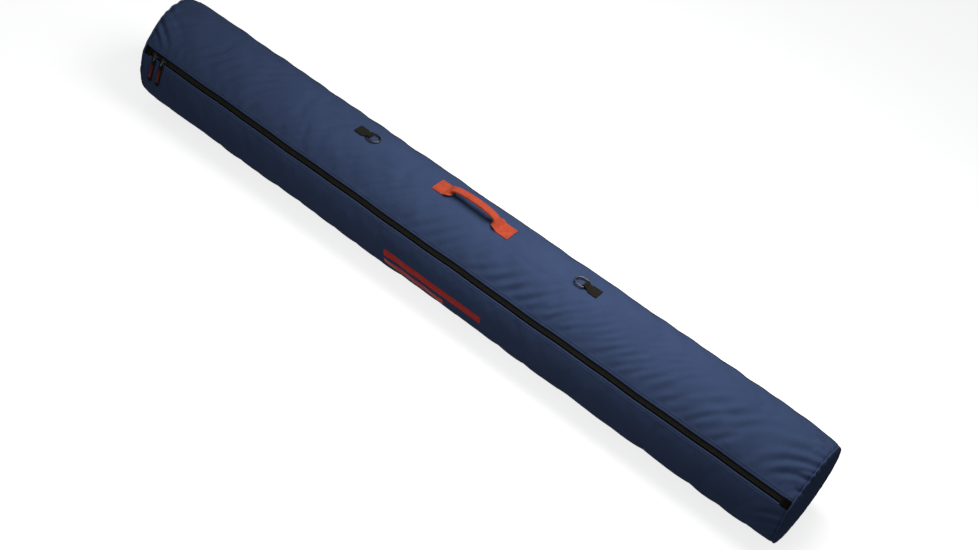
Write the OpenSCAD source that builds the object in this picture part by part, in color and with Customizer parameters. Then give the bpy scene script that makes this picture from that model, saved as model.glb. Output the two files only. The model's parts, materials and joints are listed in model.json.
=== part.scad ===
// Padded tube bag for a snowboard or a pair of skis, filled round and lying on a flat underside.
// Millimetres. +X runs along the bag, +Z is up, the zipper is on the -Y side.
// The origin is the middle of the flat underside. Angles go round the bag's axis from the
// horizontal on the zipper side: 0 is the front, 90 the top, 180 the back.

/* [Body] */
// Length over the two bulged ends
bag_length = 1700; // [1200:10:2000]
// Diameter of the round section
bag_diameter = 233; // [200:1:300]
// Width of the underside that lies flat
rest_width = 80; // [50:1:100]
// Thickness of the padded fabric
fabric = 2.5; // [2:0.1:3.5]
// How far an end panel bulges past the middle of its piping
end_bulge = 8; // [6:0.5:14]
// Radius of the flat crown of an end panel
end_crown_r = 80; // [60:1:90]
// Angle of the back seam, where the upper and lower panels meet
back_seam_angle = 134; // [120:1:150]

/* [Piping and seams] */
// Diameter of the welt round each end
piping_d = 4.6; // [4:0.1:6]
// How far the welt stands out of the body
piping_proud = 0.5; // [0:0.1:1]
// Width of the black tape over the back seam
seam_tape_w = 10; // [6:1:16]
// Thickness of the black tape over the back seam
seam_tape_t = 1; // [0.6:0.1:1.4]
// Height of the bound seam allowance inside each end
binding_h = 10; // [6:1:14]
// Thickness of the bound seam allowance
binding_t = 4; // [2:0.5:5]

/* [Zipper] */
// Angle of the zipper above the front horizontal
zip_angle = 26; // [15:1:40]
// Gap between the two panels that shows the zipper
zip_gap = 14.5; // [13:0.5:18]
// Width of one zipper tape
tape_w = 16; // [14:0.5:20]
// Thickness of the zipper tape
tape_t = 0.9; // [0.6:0.1:1]
// Width of one coil
coil_w = 2.8; // [2:0.1:3]
// Height of one coil
coil_h = 2.4; // [2:0.1:2.8]
// Hairline parting between the two closed halves of the zipper
parting = 1.2; // [1.2:0.1:1.6]
// Length of the fabric tab over each end of the zipper
end_tab_l = 18.5; // [14:0.5:24]
// Width of the fabric tab over each end of the zipper
end_tab_w = 21; // [17:0.5:26]
// Place of the outer slider from the middle of the bag
slider_left_x = -808; // [-808:1:-804]
// Distance between the two sliders
slider_pitch = 22.5; // [22:0.5:30]

/* [Sliders and pulls] */
// Length of a slider
slider_l = 14; // [12:0.5:15]
// Width of a slider
slider_w = 11; // [9:0.5:12]
// Thickness of a slider's outer plate
slider_t = 2; // [1.6:0.1:2]
// Height of the bridge bar above the fabric
bridge_rise = 2.6; // [2.6:0.1:3.4]
// Radius of the bridge bar
bridge_r = 1.1; // [0.9:0.05:1.1]
// Distance between the two eyes of the metal link
link_l = 10; // [8:0.5:12]
// Width of the metal link
link_w = 3.2; // [2.4:0.1:3.4]
// Wall of the metal link
link_wall = 1.3; // [1:0.1:1.3]
// Length of the moulded pull from its pin to its tip
pull_l = 54; // [40:1:60]
// Width of the moulded pull
pull_w = 11; // [9:0.5:12]
// Thickness of the moulded pull
pull_t = 2.6; // [2.4:0.1:2.8]

/* [D-rings] */
// Distance of each ring's tab end from the middle of the handle
ring_reach = 317; // [200:1:500]
// Width of the black webbing
ring_web_w = 25; // [20:1:26]
// Width of the black webbing where it is bunched to pass through the ring
ring_neck_w = 18; // [14:0.5:18]
// Length of the webbing tab from its end to the ring's bar
ring_tab_l = 34; // [28:1:45]
// Thickness of the black webbing
ring_web_t = 1.3; // [1:0.1:1.5]
// Radius of the ring's wire
ring_wire_r = 2; // [1.5:0.1:2.2]
// Half width of the ring, to the middle of its wire
ring_half_w = 12.5; // [12.2:0.1:17]
// Straight side of the ring between its bar and its bow
ring_side = 12; // [4:0.5:16]

/* [Handle] */
// Middle of the handle from the middle of the bag
handle_x = -12; // [-60:1:60]
// Width of the orange webbing where it is sewn flat
handle_web_w = 38; // [34:1:42]
// Thickness of the orange webbing
handle_web_t = 1.6; // [1.2:0.1:2]
// Length of each sewn end
handle_end_l = 38; // [30:1:45]
// Free span between the two sewn ends
handle_span = 120; // [110:1:150]
// Height of the arch at its middle
handle_rise = 22; // [20:1:30]
// Width of the grip, folded in two
grip_w = 19; // [16:1:19]
// Half length of the grip that flops to the side
grip_half_l = 48.3; // [46:0.1:50]

/* [Print] */
// Length of the long printed bar
print_l = 257; // [150:1:300]
// Height of a printed bar
print_h = 18; // [10:1:20]
// Gap between the two printed bars
print_gap = 12; // [8:1:16]
// Angle of the middle of the print
print_angle = -17.5; // [-20:0.5:-16]

/* [Hidden] */
$fn = 96;

radius = bag_diameter / 2;
// Height of the bag's axis over its flat underside
axis_z = sqrt(pow(radius, 2) - pow(rest_width / 2, 2));
// Height of the top of the bag
top_z = axis_z + radius;
// Small clearance between sewn layers
lay = 0.05;
// Clearance between parts that butt together
butt = 0.1;
// Running clearance of the rings and links
run = 0.15;

// Middle of the piping, and the ends of the two body panels
seam_x = bag_length / 2 - end_bulge;
panel_x = seam_x - piping_d / 2 - butt;
binding_x = panel_x - butt;
zip_x = binding_x - binding_t - butt;

// Half angle of the zipper's gap, and the depths of its layers below the fabric's surface
gap_half = half_angle(zip_gap);
tape_depth = fabric + butt;
coil_depth = tape_depth + tape_t;
chain_depth = coil_depth + coil_h;
slider_play = 0.2;
slider_corner_r = 3;
// The thin wall that joins a slider's two plates through the parting
slider_web_l = 10;
slider_web_w = parting - 2 * butt - 0.1;
slider_back_t = 1.5;
post_r = 1.3;
slider_right_x = slider_left_x + slider_pitch;

// A pull's link ends in two eyes. The pull's pin sits in the lower one.
eye_r = bridge_r + run;
link_r = eye_r + link_wall;
pin_r = eye_r - 0.25;
fork_gap = link_w + 0.6;
fork_l = link_r + 0.85;
pin_radius = norm([link_l, radius + bridge_rise]);
pin_angle = zip_angle - atan(link_l / (radius + bridge_rise));
// The pull leans in until it touches the round body
pull_touch = radius + pull_t / 2 + run;
pull_tilt = acos(pull_touch / pin_radius);
inlay_w = 7.6;
inlay_l = 35;
inlay_t = 0.6;
inlay_from = 10.5;

// D-rings: the bar lies in the webbing's loop
loop_hole_r = ring_wire_r + run;
loop_r = loop_hole_r + ring_web_t;
ring_bar_z = top_z + lay + loop_r;
ring_bar_left = handle_x - ring_reach + ring_tab_l;
ring_bar_right = handle_x + ring_reach - ring_tab_l;
loop_ramp = 7;
// The bow is a touch thinner than the bar
ring_bow_r = ring_wire_r - 0.1;

// Handle: the arch is part of a circle that starts and ends at the sewn ends
arch_base_z = top_z + handle_web_t / 2;
arch_r = (pow(handle_span / 2, 2) + pow(handle_rise, 2)) / (2 * handle_rise);
arch_center_z = arch_base_z + handle_rise - arch_r;
grip_t = 2 * handle_web_t;
neck_x = grip_half_l + 0.5;
neck_overlap = 3;

backing_t = 1.2;
backing_margin = 4;
print_t = 0.3;
short_bar = 0.62;

// Half the angle that an arc of a given width takes on the body
function half_angle(width) = width / 2 / radius * 180 / PI;
// A far point along an angle, for cutting wedges
function ray(angle) = 4 * radius * [cos(angle), sin(angle)];

// Section plane of the bag: 2D x is towards the front, 2D y is up, and -Z is along the bag
module about_axis() {
    translate([0, 0, axis_z]) rotate([90, 0, -90]) children();
}

// Extrudes a section from one place along the bag to another
module along_bag(from_x, to_x) {
    about_axis() translate([0, 0, -to_x]) linear_extrude(to_x - from_x) children();
}

// Puts a child's +Z along the outward normal at an angle, with z = 0 on the bag's axis
module at_angle(angle) {
    translate([0, 0, axis_z]) rotate([90 - angle, 0, 0]) children();
}

module wedge(from, to) {
    polygon([[0, 0], ray(from), ray((from + to) / 2), ray(to)]);
}

// The bag's round section with its flat underside, moved inwards
module section(inset) {
    intersection() {
        circle(radius - inset, $fn = 180);
        translate([-radius, inset - axis_z]) square(2 * radius);
    }
}

module band(outer_inset, inner_inset) {
    difference() {
        section(outer_inset);
        section(inner_inset);
    }
}

// A strip that lies round the body, between two radii
module strip(mid_angle, width, r_in, r_out, from_x, to_x) {
    half = half_angle(width);
    about_axis() rotate([0, 0, mid_angle - half])
        rotate_extrude(angle = 2 * half)
            translate([r_in, -to_x]) square([r_out - r_in, to_x - from_x]);
}

// --- Body panels ---

module upper_panel() {
    color("#2b3d63") along_bag(-panel_x, panel_x) intersection() {
        band(0, fabric);
        wedge(zip_angle + gap_half, back_seam_angle);
    }
}

module lower_panel() {
    color("#26365a") along_bag(-panel_x, panel_x) difference() {
        band(0, fabric);
        wedge(zip_angle - gap_half, back_seam_angle);
    }
}

// A panel that closes the right end and bulges outwards from the piping, as a shallow cone
module end_panel() {
    foot_x = seam_x + piping_d / 2 + butt;
    rise = bag_length / 2 - foot_x;
    rim_r = radius - 1;
    about_axis() translate([0, 0, -foot_x]) mirror([0, 0, 1]) difference() {
        cylinder(r1 = rim_r, r2 = end_crown_r, h = rise, $fn = 180);
        translate([0, 0, -fabric]) cylinder(r1 = rim_r, r2 = end_crown_r, h = rise, $fn = 180);
        translate([-radius, -2 * radius - axis_z + 1, -rise]) cube([2 * radius, 2 * radius, 3 * rise]);
    }
}

module end_panel_right() {
    color("#26365a") end_panel();
}

module end_panel_left() {
    color("#26365a") mirror([1, 0, 0]) end_panel();
}

// A welt round the right end. It stands proud of the round part and is flush with the underside.
module end_piping() {
    along_bag(seam_x - piping_d / 2, seam_x + piping_d / 2) difference() {
        intersection() {
            circle(radius + piping_proud, $fn = 180);
            translate([-2 * radius, -axis_z]) square(4 * radius);
        }
        section(piping_d - piping_proud);
    }
}

module end_piping_right() {
    color("#1d2b4b") end_piping();
}

module end_piping_left() {
    color("#1d2b4b") mirror([1, 0, 0]) end_piping();
}

// The bound seam allowance that stands inwards behind each end seam
module seam_binding() {
    along_bag(binding_x - binding_t, binding_x) band(fabric + butt, fabric + butt + binding_h);
}

module seam_binding_right() {
    color("#15161a") seam_binding();
}

module seam_binding_left() {
    color("#15161a") mirror([1, 0, 0]) seam_binding();
}

module back_seam_tape() {
    color("#101114")
        strip(back_seam_angle, seam_tape_w, radius + lay, radius + lay + seam_tape_t, -panel_x, panel_x);
}

// --- Zipper ---

// A strip beside the parting: side is 1 above it and -1 below it
module chain_strip(side, width, depth, thickness) {
    mid = zip_angle + side * half_angle(parting + width);
    strip(mid, width, radius - depth - thickness, radius - depth, -zip_x, zip_x);
}

module zip_tape_upper() {
    color("#0d0e10") chain_strip(1, tape_w, tape_depth, tape_t);
}

module zip_tape_lower() {
    color("#0d0e10") chain_strip(-1, tape_w, tape_depth, tape_t);
}

module zip_coil_upper() {
    color("#1c1c14") chain_strip(1, coil_w, coil_depth, coil_h);
}

module zip_coil_lower() {
    color("#1c1c14") chain_strip(-1, coil_w, coil_depth, coil_h);
}

// The fabric tab over the right end of the zipper
module zip_end_tab() {
    r_in = radius + lay;
    strip(zip_angle, end_tab_w, r_in, r_in + 1.2, panel_x - end_tab_l, panel_x);
}

module zip_end_tab_right() {
    color("#0b0b0d") zip_end_tab();
}

module zip_end_tab_left() {
    color("#0b0b0d") mirror([1, 0, 0]) zip_end_tab();
}

module rounded_plate(length, width, corner_r) {
    union() {
        square([length, width - 2 * corner_r], center = true);
        square([length - 2 * corner_r, width], center = true);
        for (x = [-1, 1], y = [-1, 1])
            translate([x * (length / 2 - corner_r), y * (width / 2 - corner_r)])
                circle(corner_r, $fn = 32);
    }
}

// Outer plate with its bridge, thin wall through the parting, and inner plate behind the coils
module slider(x) {
    plate_z = radius - tape_depth + slider_play;
    back_z = radius - chain_depth - slider_play;
    bar_z = radius + bridge_rise;
    post_x = slider_l / 2 - post_r - 0.5;
    translate([x, 0, 0]) at_angle(zip_angle) {
        translate([0, 0, plate_z]) linear_extrude(slider_t)
            rounded_plate(slider_l, slider_w, slider_corner_r);
        translate([0, 0, back_z - slider_back_t]) linear_extrude(slider_back_t)
            rounded_plate(slider_l, slider_w, slider_corner_r);
        translate([-slider_web_l / 2, -slider_web_w / 2, back_z - slider_back_t / 2])
            cube([slider_web_l, slider_web_w, plate_z - back_z + slider_back_t]);
        for (side = [-1, 1]) {
            translate([side * post_x, 0, plate_z + slider_t / 2])
                cylinder(r = post_r, h = bar_z - plate_z - slider_t / 2, $fn = 32);
            translate([side * post_x, 0, bar_z]) sphere(post_r, $fn = 32);
        }
        translate([-post_x, 0, bar_z]) rotate([0, 90, 0])
            cylinder(r = bridge_r, h = 2 * post_x, $fn = 32);
    }
}

module zip_slider_left() {
    color("#2a2b2d") slider(slider_left_x);
}

module zip_slider_right() {
    color("#2a2b2d") slider(slider_right_x);
}

// A slot shape between two points on the 2D x axis
module slot_shape(length, r) {
    circle(r, $fn = 48);
    translate([-length, 0]) circle(r, $fn = 48);
    translate([-length, -r]) square([length, 2 * r]);
}

// An oblong metal link: the bridge bar is in its upper eye
module link(x) {
    translate([x - link_w / 2, 0, 0]) at_angle(zip_angle) translate([0, 0, radius + bridge_rise])
        rotate([90, 0, 90]) linear_extrude(link_w) difference() {
            slot_shape(link_l, link_r);
            slot_shape(link_l, eye_r);
        }
}

module pull_link_left() {
    color("#3a3b3d") link(slider_left_x);
}

module pull_link_right() {
    color("#3a3b3d") link(slider_right_x);
}

// Frame of a pull: the pin is at the origin along X, and the pull runs along -Y
module at_pin(x) {
    translate([x, 0, 0]) at_angle(pin_angle) translate([0, 0, pin_radius])
        rotate([pull_tilt, 0, 0]) children();
}

module inlay_shape(play) {
    translate([0, -inlay_from - inlay_l / 2])
        square([inlay_w - 2 * play, inlay_l - 2 * play], center = true);
}

// A moulded pull: a fork with its pin, a flat body with a round tip, and a recess for the inlay
module pull(x) {
    tip_r = pull_w / 2;
    arm_w = (pull_w - fork_gap) / 2;
    at_pin(x) difference() {
        union() {
            for (side = [-1, 1]) {
                arm_x = side * (fork_gap + arm_w) / 2;
                translate([arm_x - arm_w / 2, -fork_l, -pull_t / 2]) cube([arm_w, fork_l, pull_t]);
                translate([arm_x - arm_w / 2, 0, 0]) rotate([0, 90, 0])
                    cylinder(d = pull_t, h = arm_w, $fn = 32);
            }
            translate([-fork_gap / 2 - arm_w / 2, 0, 0]) rotate([0, 90, 0])
                cylinder(r = pin_r, h = fork_gap + arm_w, $fn = 32);
            translate([0, 0, -pull_t / 2]) linear_extrude(pull_t) {
                translate([-pull_w / 2, tip_r - pull_l]) square([pull_w, pull_l - tip_r - fork_l]);
                translate([0, tip_r - pull_l]) circle(tip_r, $fn = 48);
            }
        }
        translate([0, 0, pull_t / 2 - inlay_t]) linear_extrude(2 * inlay_t) inlay_shape(0);
    }
}

module pull_tab_left() {
    color("#141416") pull(slider_left_x);
}

module pull_tab_right() {
    color("#141416") pull(slider_right_x);
}

module inlay(x) {
    at_pin(x) translate([0, 0, pull_t / 2 - inlay_t]) linear_extrude(inlay_t) inlay_shape(lay);
}

module pull_inlay_left() {
    color("#8c2a1c") inlay(slider_left_x);
}

module pull_inlay_right() {
    color("#8c2a1c") inlay(slider_right_x);
}

// --- D-rings ---

// Bar, two straight sides and a round bow. The bow points along +X from the bar.
module ring_wire() {
    bar_half = ring_half_w + ring_wire_r;
    translate([0, bar_half, 0]) rotate([90, 0, 0])
        cylinder(r = ring_wire_r, h = 2 * bar_half, $fn = 40);
    for (side = [-1, 1])
        translate([0, side * ring_half_w, 0]) rotate([0, 90, 0])
            cylinder(r = ring_bow_r, h = ring_side, $fn = 40);
    translate([ring_side, 0, 0]) rotate([0, 0, -90]) rotate_extrude(angle = 180)
        translate([ring_half_w, 0]) circle(ring_bow_r, $fn = 40);
}

module d_ring_left() {
    color("#3d3f42") translate([ring_bar_left, 0, ring_bar_z]) ring_wire();
}

module d_ring_right() {
    color("#3d3f42") translate([ring_bar_right, 0, ring_bar_z]) mirror([1, 0, 0]) ring_wire();
}

// Webbing folded round the ring's bar and sewn down behind it, for the left ring
module ring_loop(bar_x) {
    r_in = radius + lay;
    strip(90, ring_web_w, r_in, r_in + 2 * ring_web_t, bar_x - ring_tab_l, bar_x - loop_ramp + 1);
    translate([bar_x, ring_neck_w / 2, ring_bar_z]) rotate([90, 0, 0])
        linear_extrude(ring_neck_w) difference() {
            union() {
                circle(loop_r, $fn = 48);
                polygon([[0, -loop_r], [0, loop_r], [-loop_ramp, 2 * ring_web_t - loop_r],
                    [-loop_ramp, -loop_r]]);
            }
            circle(loop_hole_r, $fn = 48);
        }
}

module d_ring_loop_left() {
    color("#16171a") ring_loop(ring_bar_left);
}

module d_ring_loop_right() {
    color("#16171a") mirror([1, 0, 0]) ring_loop(-ring_bar_right);
}

// --- Handle ---

// Part of the arch between two places along it, cut off at the top of the bag
module arch_part(from_x, to_x) {
    translate([handle_x, grip_w / 2, 0]) rotate([90, 0, 0]) linear_extrude(grip_w) intersection() {
        translate([0, arch_center_z]) difference() {
            circle(arch_r + grip_t / 2, $fn = 240);
            circle(arch_r - grip_t / 2, $fn = 240);
        }
        translate([from_x, top_z + lay]) square([to_x - from_x, handle_rise + grip_t]);
    }
}

module sewn_end(from_x) {
    r_in = radius + lay;
    strip(90, handle_web_w, r_in, r_in + handle_web_t, from_x, from_x + handle_end_l);
}

module handle_end_left() {
    half = handle_span / 2;
    color("#d1552f") {
        sewn_end(handle_x - half - handle_end_l);
        arch_part(-half - neck_overlap, -neck_x);
    }
}

module handle_end_right() {
    half = handle_span / 2;
    color("#d1552f") {
        sewn_end(handle_x + half);
        arch_part(neck_x, half + neck_overlap);
    }
}

module handle_grip() {
    color("#d1552f") arch_part(-grip_half_l, grip_half_l);
}

// --- Patches inside the upper panel, which take the load of the handle and the rings ---

module backing(from_x, to_x, width) {
    r_out = radius - fabric - butt;
    strip(90, width, r_out - backing_t, r_out, from_x, to_x);
}

module handle_backing() {
    half = handle_span / 2 + handle_end_l + backing_margin;
    color("#1a1b1f") backing(handle_x - half, handle_x + half, handle_web_w + 2 * backing_margin);
}

module ring_backing_left() {
    outer = handle_x - ring_reach - backing_margin;
    color("#1a1b1f") backing(outer, ring_bar_left, ring_web_w + 2 * backing_margin);
}

module ring_backing_right() {
    outer = handle_x + ring_reach + backing_margin;
    color("#1a1b1f") backing(ring_bar_right, outer, ring_web_w + 2 * backing_margin);
}

// --- Print: a long bar over a short one ---

module front_print() {
    r_in = radius + lay;
    step = half_angle(print_h + print_gap);
    color("#b8321e") {
        strip(print_angle + step, print_h, r_in, r_in + print_t, -print_l / 2, print_l / 2);
        strip(print_angle - step, print_h, r_in, r_in + print_t, -print_l / 2,
            print_l * (short_bar - 0.5));
    }
}

upper_panel();
lower_panel();
end_panel_left();
end_panel_right();
end_piping_left();
end_piping_right();
seam_binding_left();
seam_binding_right();
back_seam_tape();
zip_tape_upper();
zip_tape_lower();
zip_coil_upper();
zip_coil_lower();
zip_end_tab_left();
zip_end_tab_right();
zip_slider_left();
zip_slider_right();
pull_link_left();
pull_link_right();
pull_tab_left();
pull_tab_right();
pull_inlay_left();
pull_inlay_right();
d_ring_left();
d_ring_right();
d_ring_loop_left();
d_ring_loop_right();
handle_end_left();
handle_end_right();
handle_grip();
handle_backing();
ring_backing_left();
ring_backing_right();
front_print();
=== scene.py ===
import json
import math

import bpy
import numpy as np
from mathutils import Matrix, Vector


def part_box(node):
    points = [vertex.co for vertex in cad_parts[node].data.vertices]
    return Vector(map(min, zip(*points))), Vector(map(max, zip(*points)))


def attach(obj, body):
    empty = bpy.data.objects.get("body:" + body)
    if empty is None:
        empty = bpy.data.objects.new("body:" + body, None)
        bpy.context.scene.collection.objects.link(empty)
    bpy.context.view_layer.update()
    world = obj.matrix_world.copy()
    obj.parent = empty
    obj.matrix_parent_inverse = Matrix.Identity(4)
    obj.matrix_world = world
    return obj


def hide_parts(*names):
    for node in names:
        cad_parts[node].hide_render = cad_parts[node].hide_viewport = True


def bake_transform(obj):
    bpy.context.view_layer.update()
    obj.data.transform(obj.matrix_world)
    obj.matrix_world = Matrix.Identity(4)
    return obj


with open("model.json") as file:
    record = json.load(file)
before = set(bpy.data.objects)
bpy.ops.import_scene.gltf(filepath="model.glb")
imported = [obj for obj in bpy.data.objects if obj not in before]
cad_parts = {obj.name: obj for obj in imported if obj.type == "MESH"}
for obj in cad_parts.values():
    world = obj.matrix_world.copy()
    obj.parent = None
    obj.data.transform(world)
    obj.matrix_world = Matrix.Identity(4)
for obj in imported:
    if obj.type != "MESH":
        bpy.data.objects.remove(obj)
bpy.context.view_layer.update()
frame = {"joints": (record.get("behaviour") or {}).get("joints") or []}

# Metres. +X runs along the bag, +Z is up and the zipper is on the -Y side. Angles go round the
# bag's axis from the front horizontal: 0 is the front, 90 degrees the top, 180 the back.
MM = 0.001
X, Y, Z = 0, 1, 2
TURN = 2 * math.pi


def low(node, axis):
    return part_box(node)[0][axis]


def high(node, axis):
    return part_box(node)[1][axis]


def middle(node, axis):
    return (low(node, axis) + high(node, axis)) / 2


def reach_x(node):
    """How near to the bag's middle a node comes along X, and how far from it it goes."""
    return sorted((abs(low(node, X)), abs(high(node, X))))


def smoothstep(t):
    t = np.clip(t, 0, 1)
    return t * t * (3 - 2 * t)


JOINTS = {joint["name"]: joint for joint in frame["joints"]}
RADIUS = (high("lower_panel", Y) - low("lower_panel", Y)) / 2
AXIS_Z = high("upper_panel", Z) - RADIUS
TOP_Z = AXIS_Z + RADIUS
PANEL_X = high("upper_panel", X)
SEAM_X = middle("end_piping_right", X)
BRIDGE = JOINTS["link_left_lift"]["pos_m"]
ZIP_ANGLE = math.atan2(BRIDGE[Z] - AXIS_Z, -BRIDGE[Y])
BACK_SEAM_ANGLE = math.radians(134)
FABRIC = 2.5 * MM
ZIP_GAP = 14.5 * MM
WEB_HALF = 19 * MM
TAB_HALF = 12.5 * MM
HANDLE_X = (middle("handle_end_left", X) + middle("handle_end_right", X)) / 2
SIDES = {"left": -1, "right": 1}


def arc(distance):
    """The angle that a distance round the bag takes."""
    return distance / RADIUS


def even(start, end, step):
    return np.linspace(start, end, max(2, int(round(abs(end - start) / step)) + 1))


def bell(distance, centre, width):
    return np.exp(-((distance - centre) / width) ** 2)


def unit(vectors):
    return vectors / np.linalg.norm(vectors, axis=-1, keepdims=True)


def tube_normals(grid):
    """Outward normals of a grid of points whose columns go all the way round."""
    along = np.gradient(grid, axis=0)
    wrapped = np.concatenate([grid[:, -1:], grid, grid[:, :1]], axis=1)
    return unit(np.cross(along, wrapped[:, 2:] - wrapped[:, :-2]))


# --- Meshes ---


class Form:
    """Points, faces and texture coordinates in metres, gathered into one mesh."""

    def __init__(self):
        self.points = []
        self.uvs = []
        self.faces = []
        self.count = 0

    def add(self, points, uv=None):
        """Adds points and returns their numbers in the same arrangement."""
        points = np.asarray(points, float)
        flat = points.reshape(-1, 3)
        if uv is None:
            uv = flat[:, [X, Y]]
        self.points.append(flat)
        self.uvs.append(np.asarray(uv, float).reshape(-1, 2))
        index = self.count + np.arange(len(flat)).reshape(points.shape[:-1])
        self.count += len(flat)
        return index

    def quads(self, index, wrap_rows=False, wrap_columns=False, flip=False):
        """Faces over a grid of point numbers. Columns run along, rows across."""
        if wrap_rows:
            index = np.concatenate([index, index[:1]], axis=0)
        if wrap_columns:
            index = np.concatenate([index, index[:, :1]], axis=1)
        corners = [index[:-1, :-1], index[1:, :-1], index[1:, 1:], index[:-1, 1:]]
        quads = np.stack([c.ravel() for c in corners], axis=1)
        self.faces.extend((quads[:, ::-1] if flip else quads).tolist())

    def fan(self, ring, flip=False):
        """Closes a ring of point numbers with a point in its middle."""
        flat = np.concatenate(self.points)
        uv = np.concatenate(self.uvs)[ring].mean(axis=0)
        centre = int(self.add(flat[ring].mean(axis=0), uv))
        following = np.roll(ring, -1)
        for a, b in zip(ring.tolist(), following.tolist()):
            self.faces.append([b, a, centre] if flip else [a, b, centre])

    def slab(self, outer, inner, uv):
        """A closed sheet between an outer and an inner grid of points."""
        top = self.add(outer, uv)
        bottom = self.add(inner, uv)
        self.quads(top)
        self.quads(bottom, flip=True)
        edges = [
            (False, top[:, 0], bottom[:, 0]), (True, top[:, -1], bottom[:, -1]),
            (True, top[0], bottom[0]), (False, top[-1], bottom[-1]),
        ]
        for flip, a, b in edges:
            self.quads(np.stack([a, b], axis=1), flip=flip)

    def loft(self, rings, closed=False, uv=None):
        """A solid through rings of points. Closed joins the last ring to the first."""
        index = self.add(rings, uv)
        self.quads(index, wrap_rows=closed, wrap_columns=True)
        if not closed:
            self.fan(index[0])
            self.fan(index[-1], flip=True)

    def mesh(self, name):
        mesh = bpy.data.meshes.new(name)
        mesh.from_pydata(np.concatenate(self.points).tolist(), [], self.faces)
        corner = np.zeros(len(mesh.loops), np.int32)
        mesh.loops.foreach_get("vertex_index", corner)
        layer = mesh.uv_layers.new(name="metres")
        layer.data.foreach_set("uv", np.concatenate(self.uvs)[corner].astype(np.float32).ravel())
        mesh.polygons.foreach_set("use_smooth", np.ones(len(mesh.polygons), bool))
        mesh.update()
        return mesh


def piece(name, form, material, body, replaces=(), sharp=50):
    """Makes an object of a form, which rides on a body and stands for CAD nodes."""
    mesh = form.mesh(name)
    mesh.materials.append(material)
    mesh.set_sharp_from_angle(angle=math.radians(sharp))
    made = bpy.data.objects.new(name, mesh)
    bpy.context.scene.collection.objects.link(made)
    if body:
        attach(made, body)
    if replaces:
        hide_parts(*replaces)
    return made


def spline(points, count):
    """A smooth line through a few points, evenly sampled along its length."""
    points = np.asarray(points, float)
    padded = np.concatenate([2 * points[:1] - points[1:2], points, 2 * points[-1:] - points[-2:-1]])
    t = np.linspace(0, 1, 12, endpoint=False)[:, None]
    line = []
    for a, b, c, d in zip(padded, padded[1:], padded[2:], padded[3:]):
        line.append(
            b + t * (c - a) / 2
            + t**2 * (a - 2.5 * b + 2 * c - d / 2)
            + t**3 * (1.5 * b - 1.5 * c + (d - a) / 2)
        )
    return resample(np.concatenate(line + [points[-1:]]), count)


def running_length(line):
    """How far along a line of points each point is."""
    return np.concatenate([[0], np.cumsum(np.linalg.norm(np.diff(line, axis=0), axis=1))])


def resample(line, count):
    """Even steps along a line of points. Columns past the third are carried along."""
    along = running_length(line[:, :3])
    at = np.linspace(0, along[-1], count)
    return np.stack([np.interp(at, along, line[:, k]) for k in range(line.shape[1])], axis=1)


def tube(form, path, radius, sides=10, closed=False, flat=1.0, up=(0, 0, 1)):
    """A round wire along a path. flat squashes it along the direction up."""
    path = np.asarray(path, float)
    ahead = np.roll(path, -1, axis=0) - np.roll(path, 1, axis=0)
    if not closed:
        ahead[0] = path[1] - path[0]
        ahead[-1] = path[-1] - path[-2]
    ahead = unit(ahead)
    side = unit(np.cross(ahead, np.broadcast_to(up, ahead.shape)))
    rise = np.cross(side, ahead)
    turn = np.linspace(0, TURN, sides, endpoint=False)
    radius = np.broadcast_to(radius, len(path))[:, None, None]
    ring = np.cos(turn)[:, None] * side[:, None] + flat * np.sin(turn)[:, None] * rise[:, None]
    form.loft(path[:, None] + radius * ring, closed=closed)


def stitches(form, line, normal, pitch=3.4 * MM, thread=0.34 * MM):
    """A row of thread stitches along a line of points that lies on a surface."""
    count = max(2, int(running_length(line)[-1] / pitch))
    ends = resample(np.concatenate([line, normal], axis=1), 2 * count + 1)
    centre = ends[1::2, :3]
    along = unit(ends[2::2, :3] - ends[:-2:2, :3])
    rise = unit(ends[1::2, 3:])
    side = np.cross(along, rise)
    ring_at = np.array([-1, -0.55, 0.55, 1]) * 0.40 * pitch
    ring_size = np.array([0.35, 1, 1, 0.35])
    ring_rise = np.array([-0.6, 0.35, 0.35, -0.6]) * thread
    turn = np.radians([0, 72, 144, 216, 288])
    for k in range(len(centre)):
        rings = (
            centre[k]
            + (ring_at[:, None] * along[k] + ring_rise[:, None] * rise[k])[:, None]
            + thread * ring_size[:, None, None]
            * (np.cos(turn)[:, None] * side[k] + np.sin(turn)[:, None] * rise[k])
        )
        index = form.add(rings)
        form.quads(index, wrap_columns=True)
        form.faces.append(index[0].tolist())
        form.faces.append(index[-1][::-1].tolist())


# --- The bag's skin ---


def beside(line, px, py):
    """How far points lie to the left of a line, and how far along it they are, from 0 to 1."""
    best = np.full(px.shape, 1e9)
    offset = np.zeros_like(best)
    along = np.zeros_like(best)
    for k in range(len(line) - 1):
        start, step = line[k], line[k + 1] - line[k]
        length = math.hypot(*step)
        t = np.clip(((px - start[0]) * step[0] + (py - start[1]) * step[1]) / length**2, 0, 1)
        dx = px - start[0] - t * step[0]
        dy = py - start[1] - t * step[1]
        distance = np.hypot(dx, dy)
        closer = distance < best
        best = np.where(closer, distance, best)
        cross = np.sign(step[0] * dy - step[1] * dx)
        offset = np.where(closer, distance * cross, offset)
        along = np.where(closer, (k + t) / (len(line) - 1), along)
    return offset, along


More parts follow.
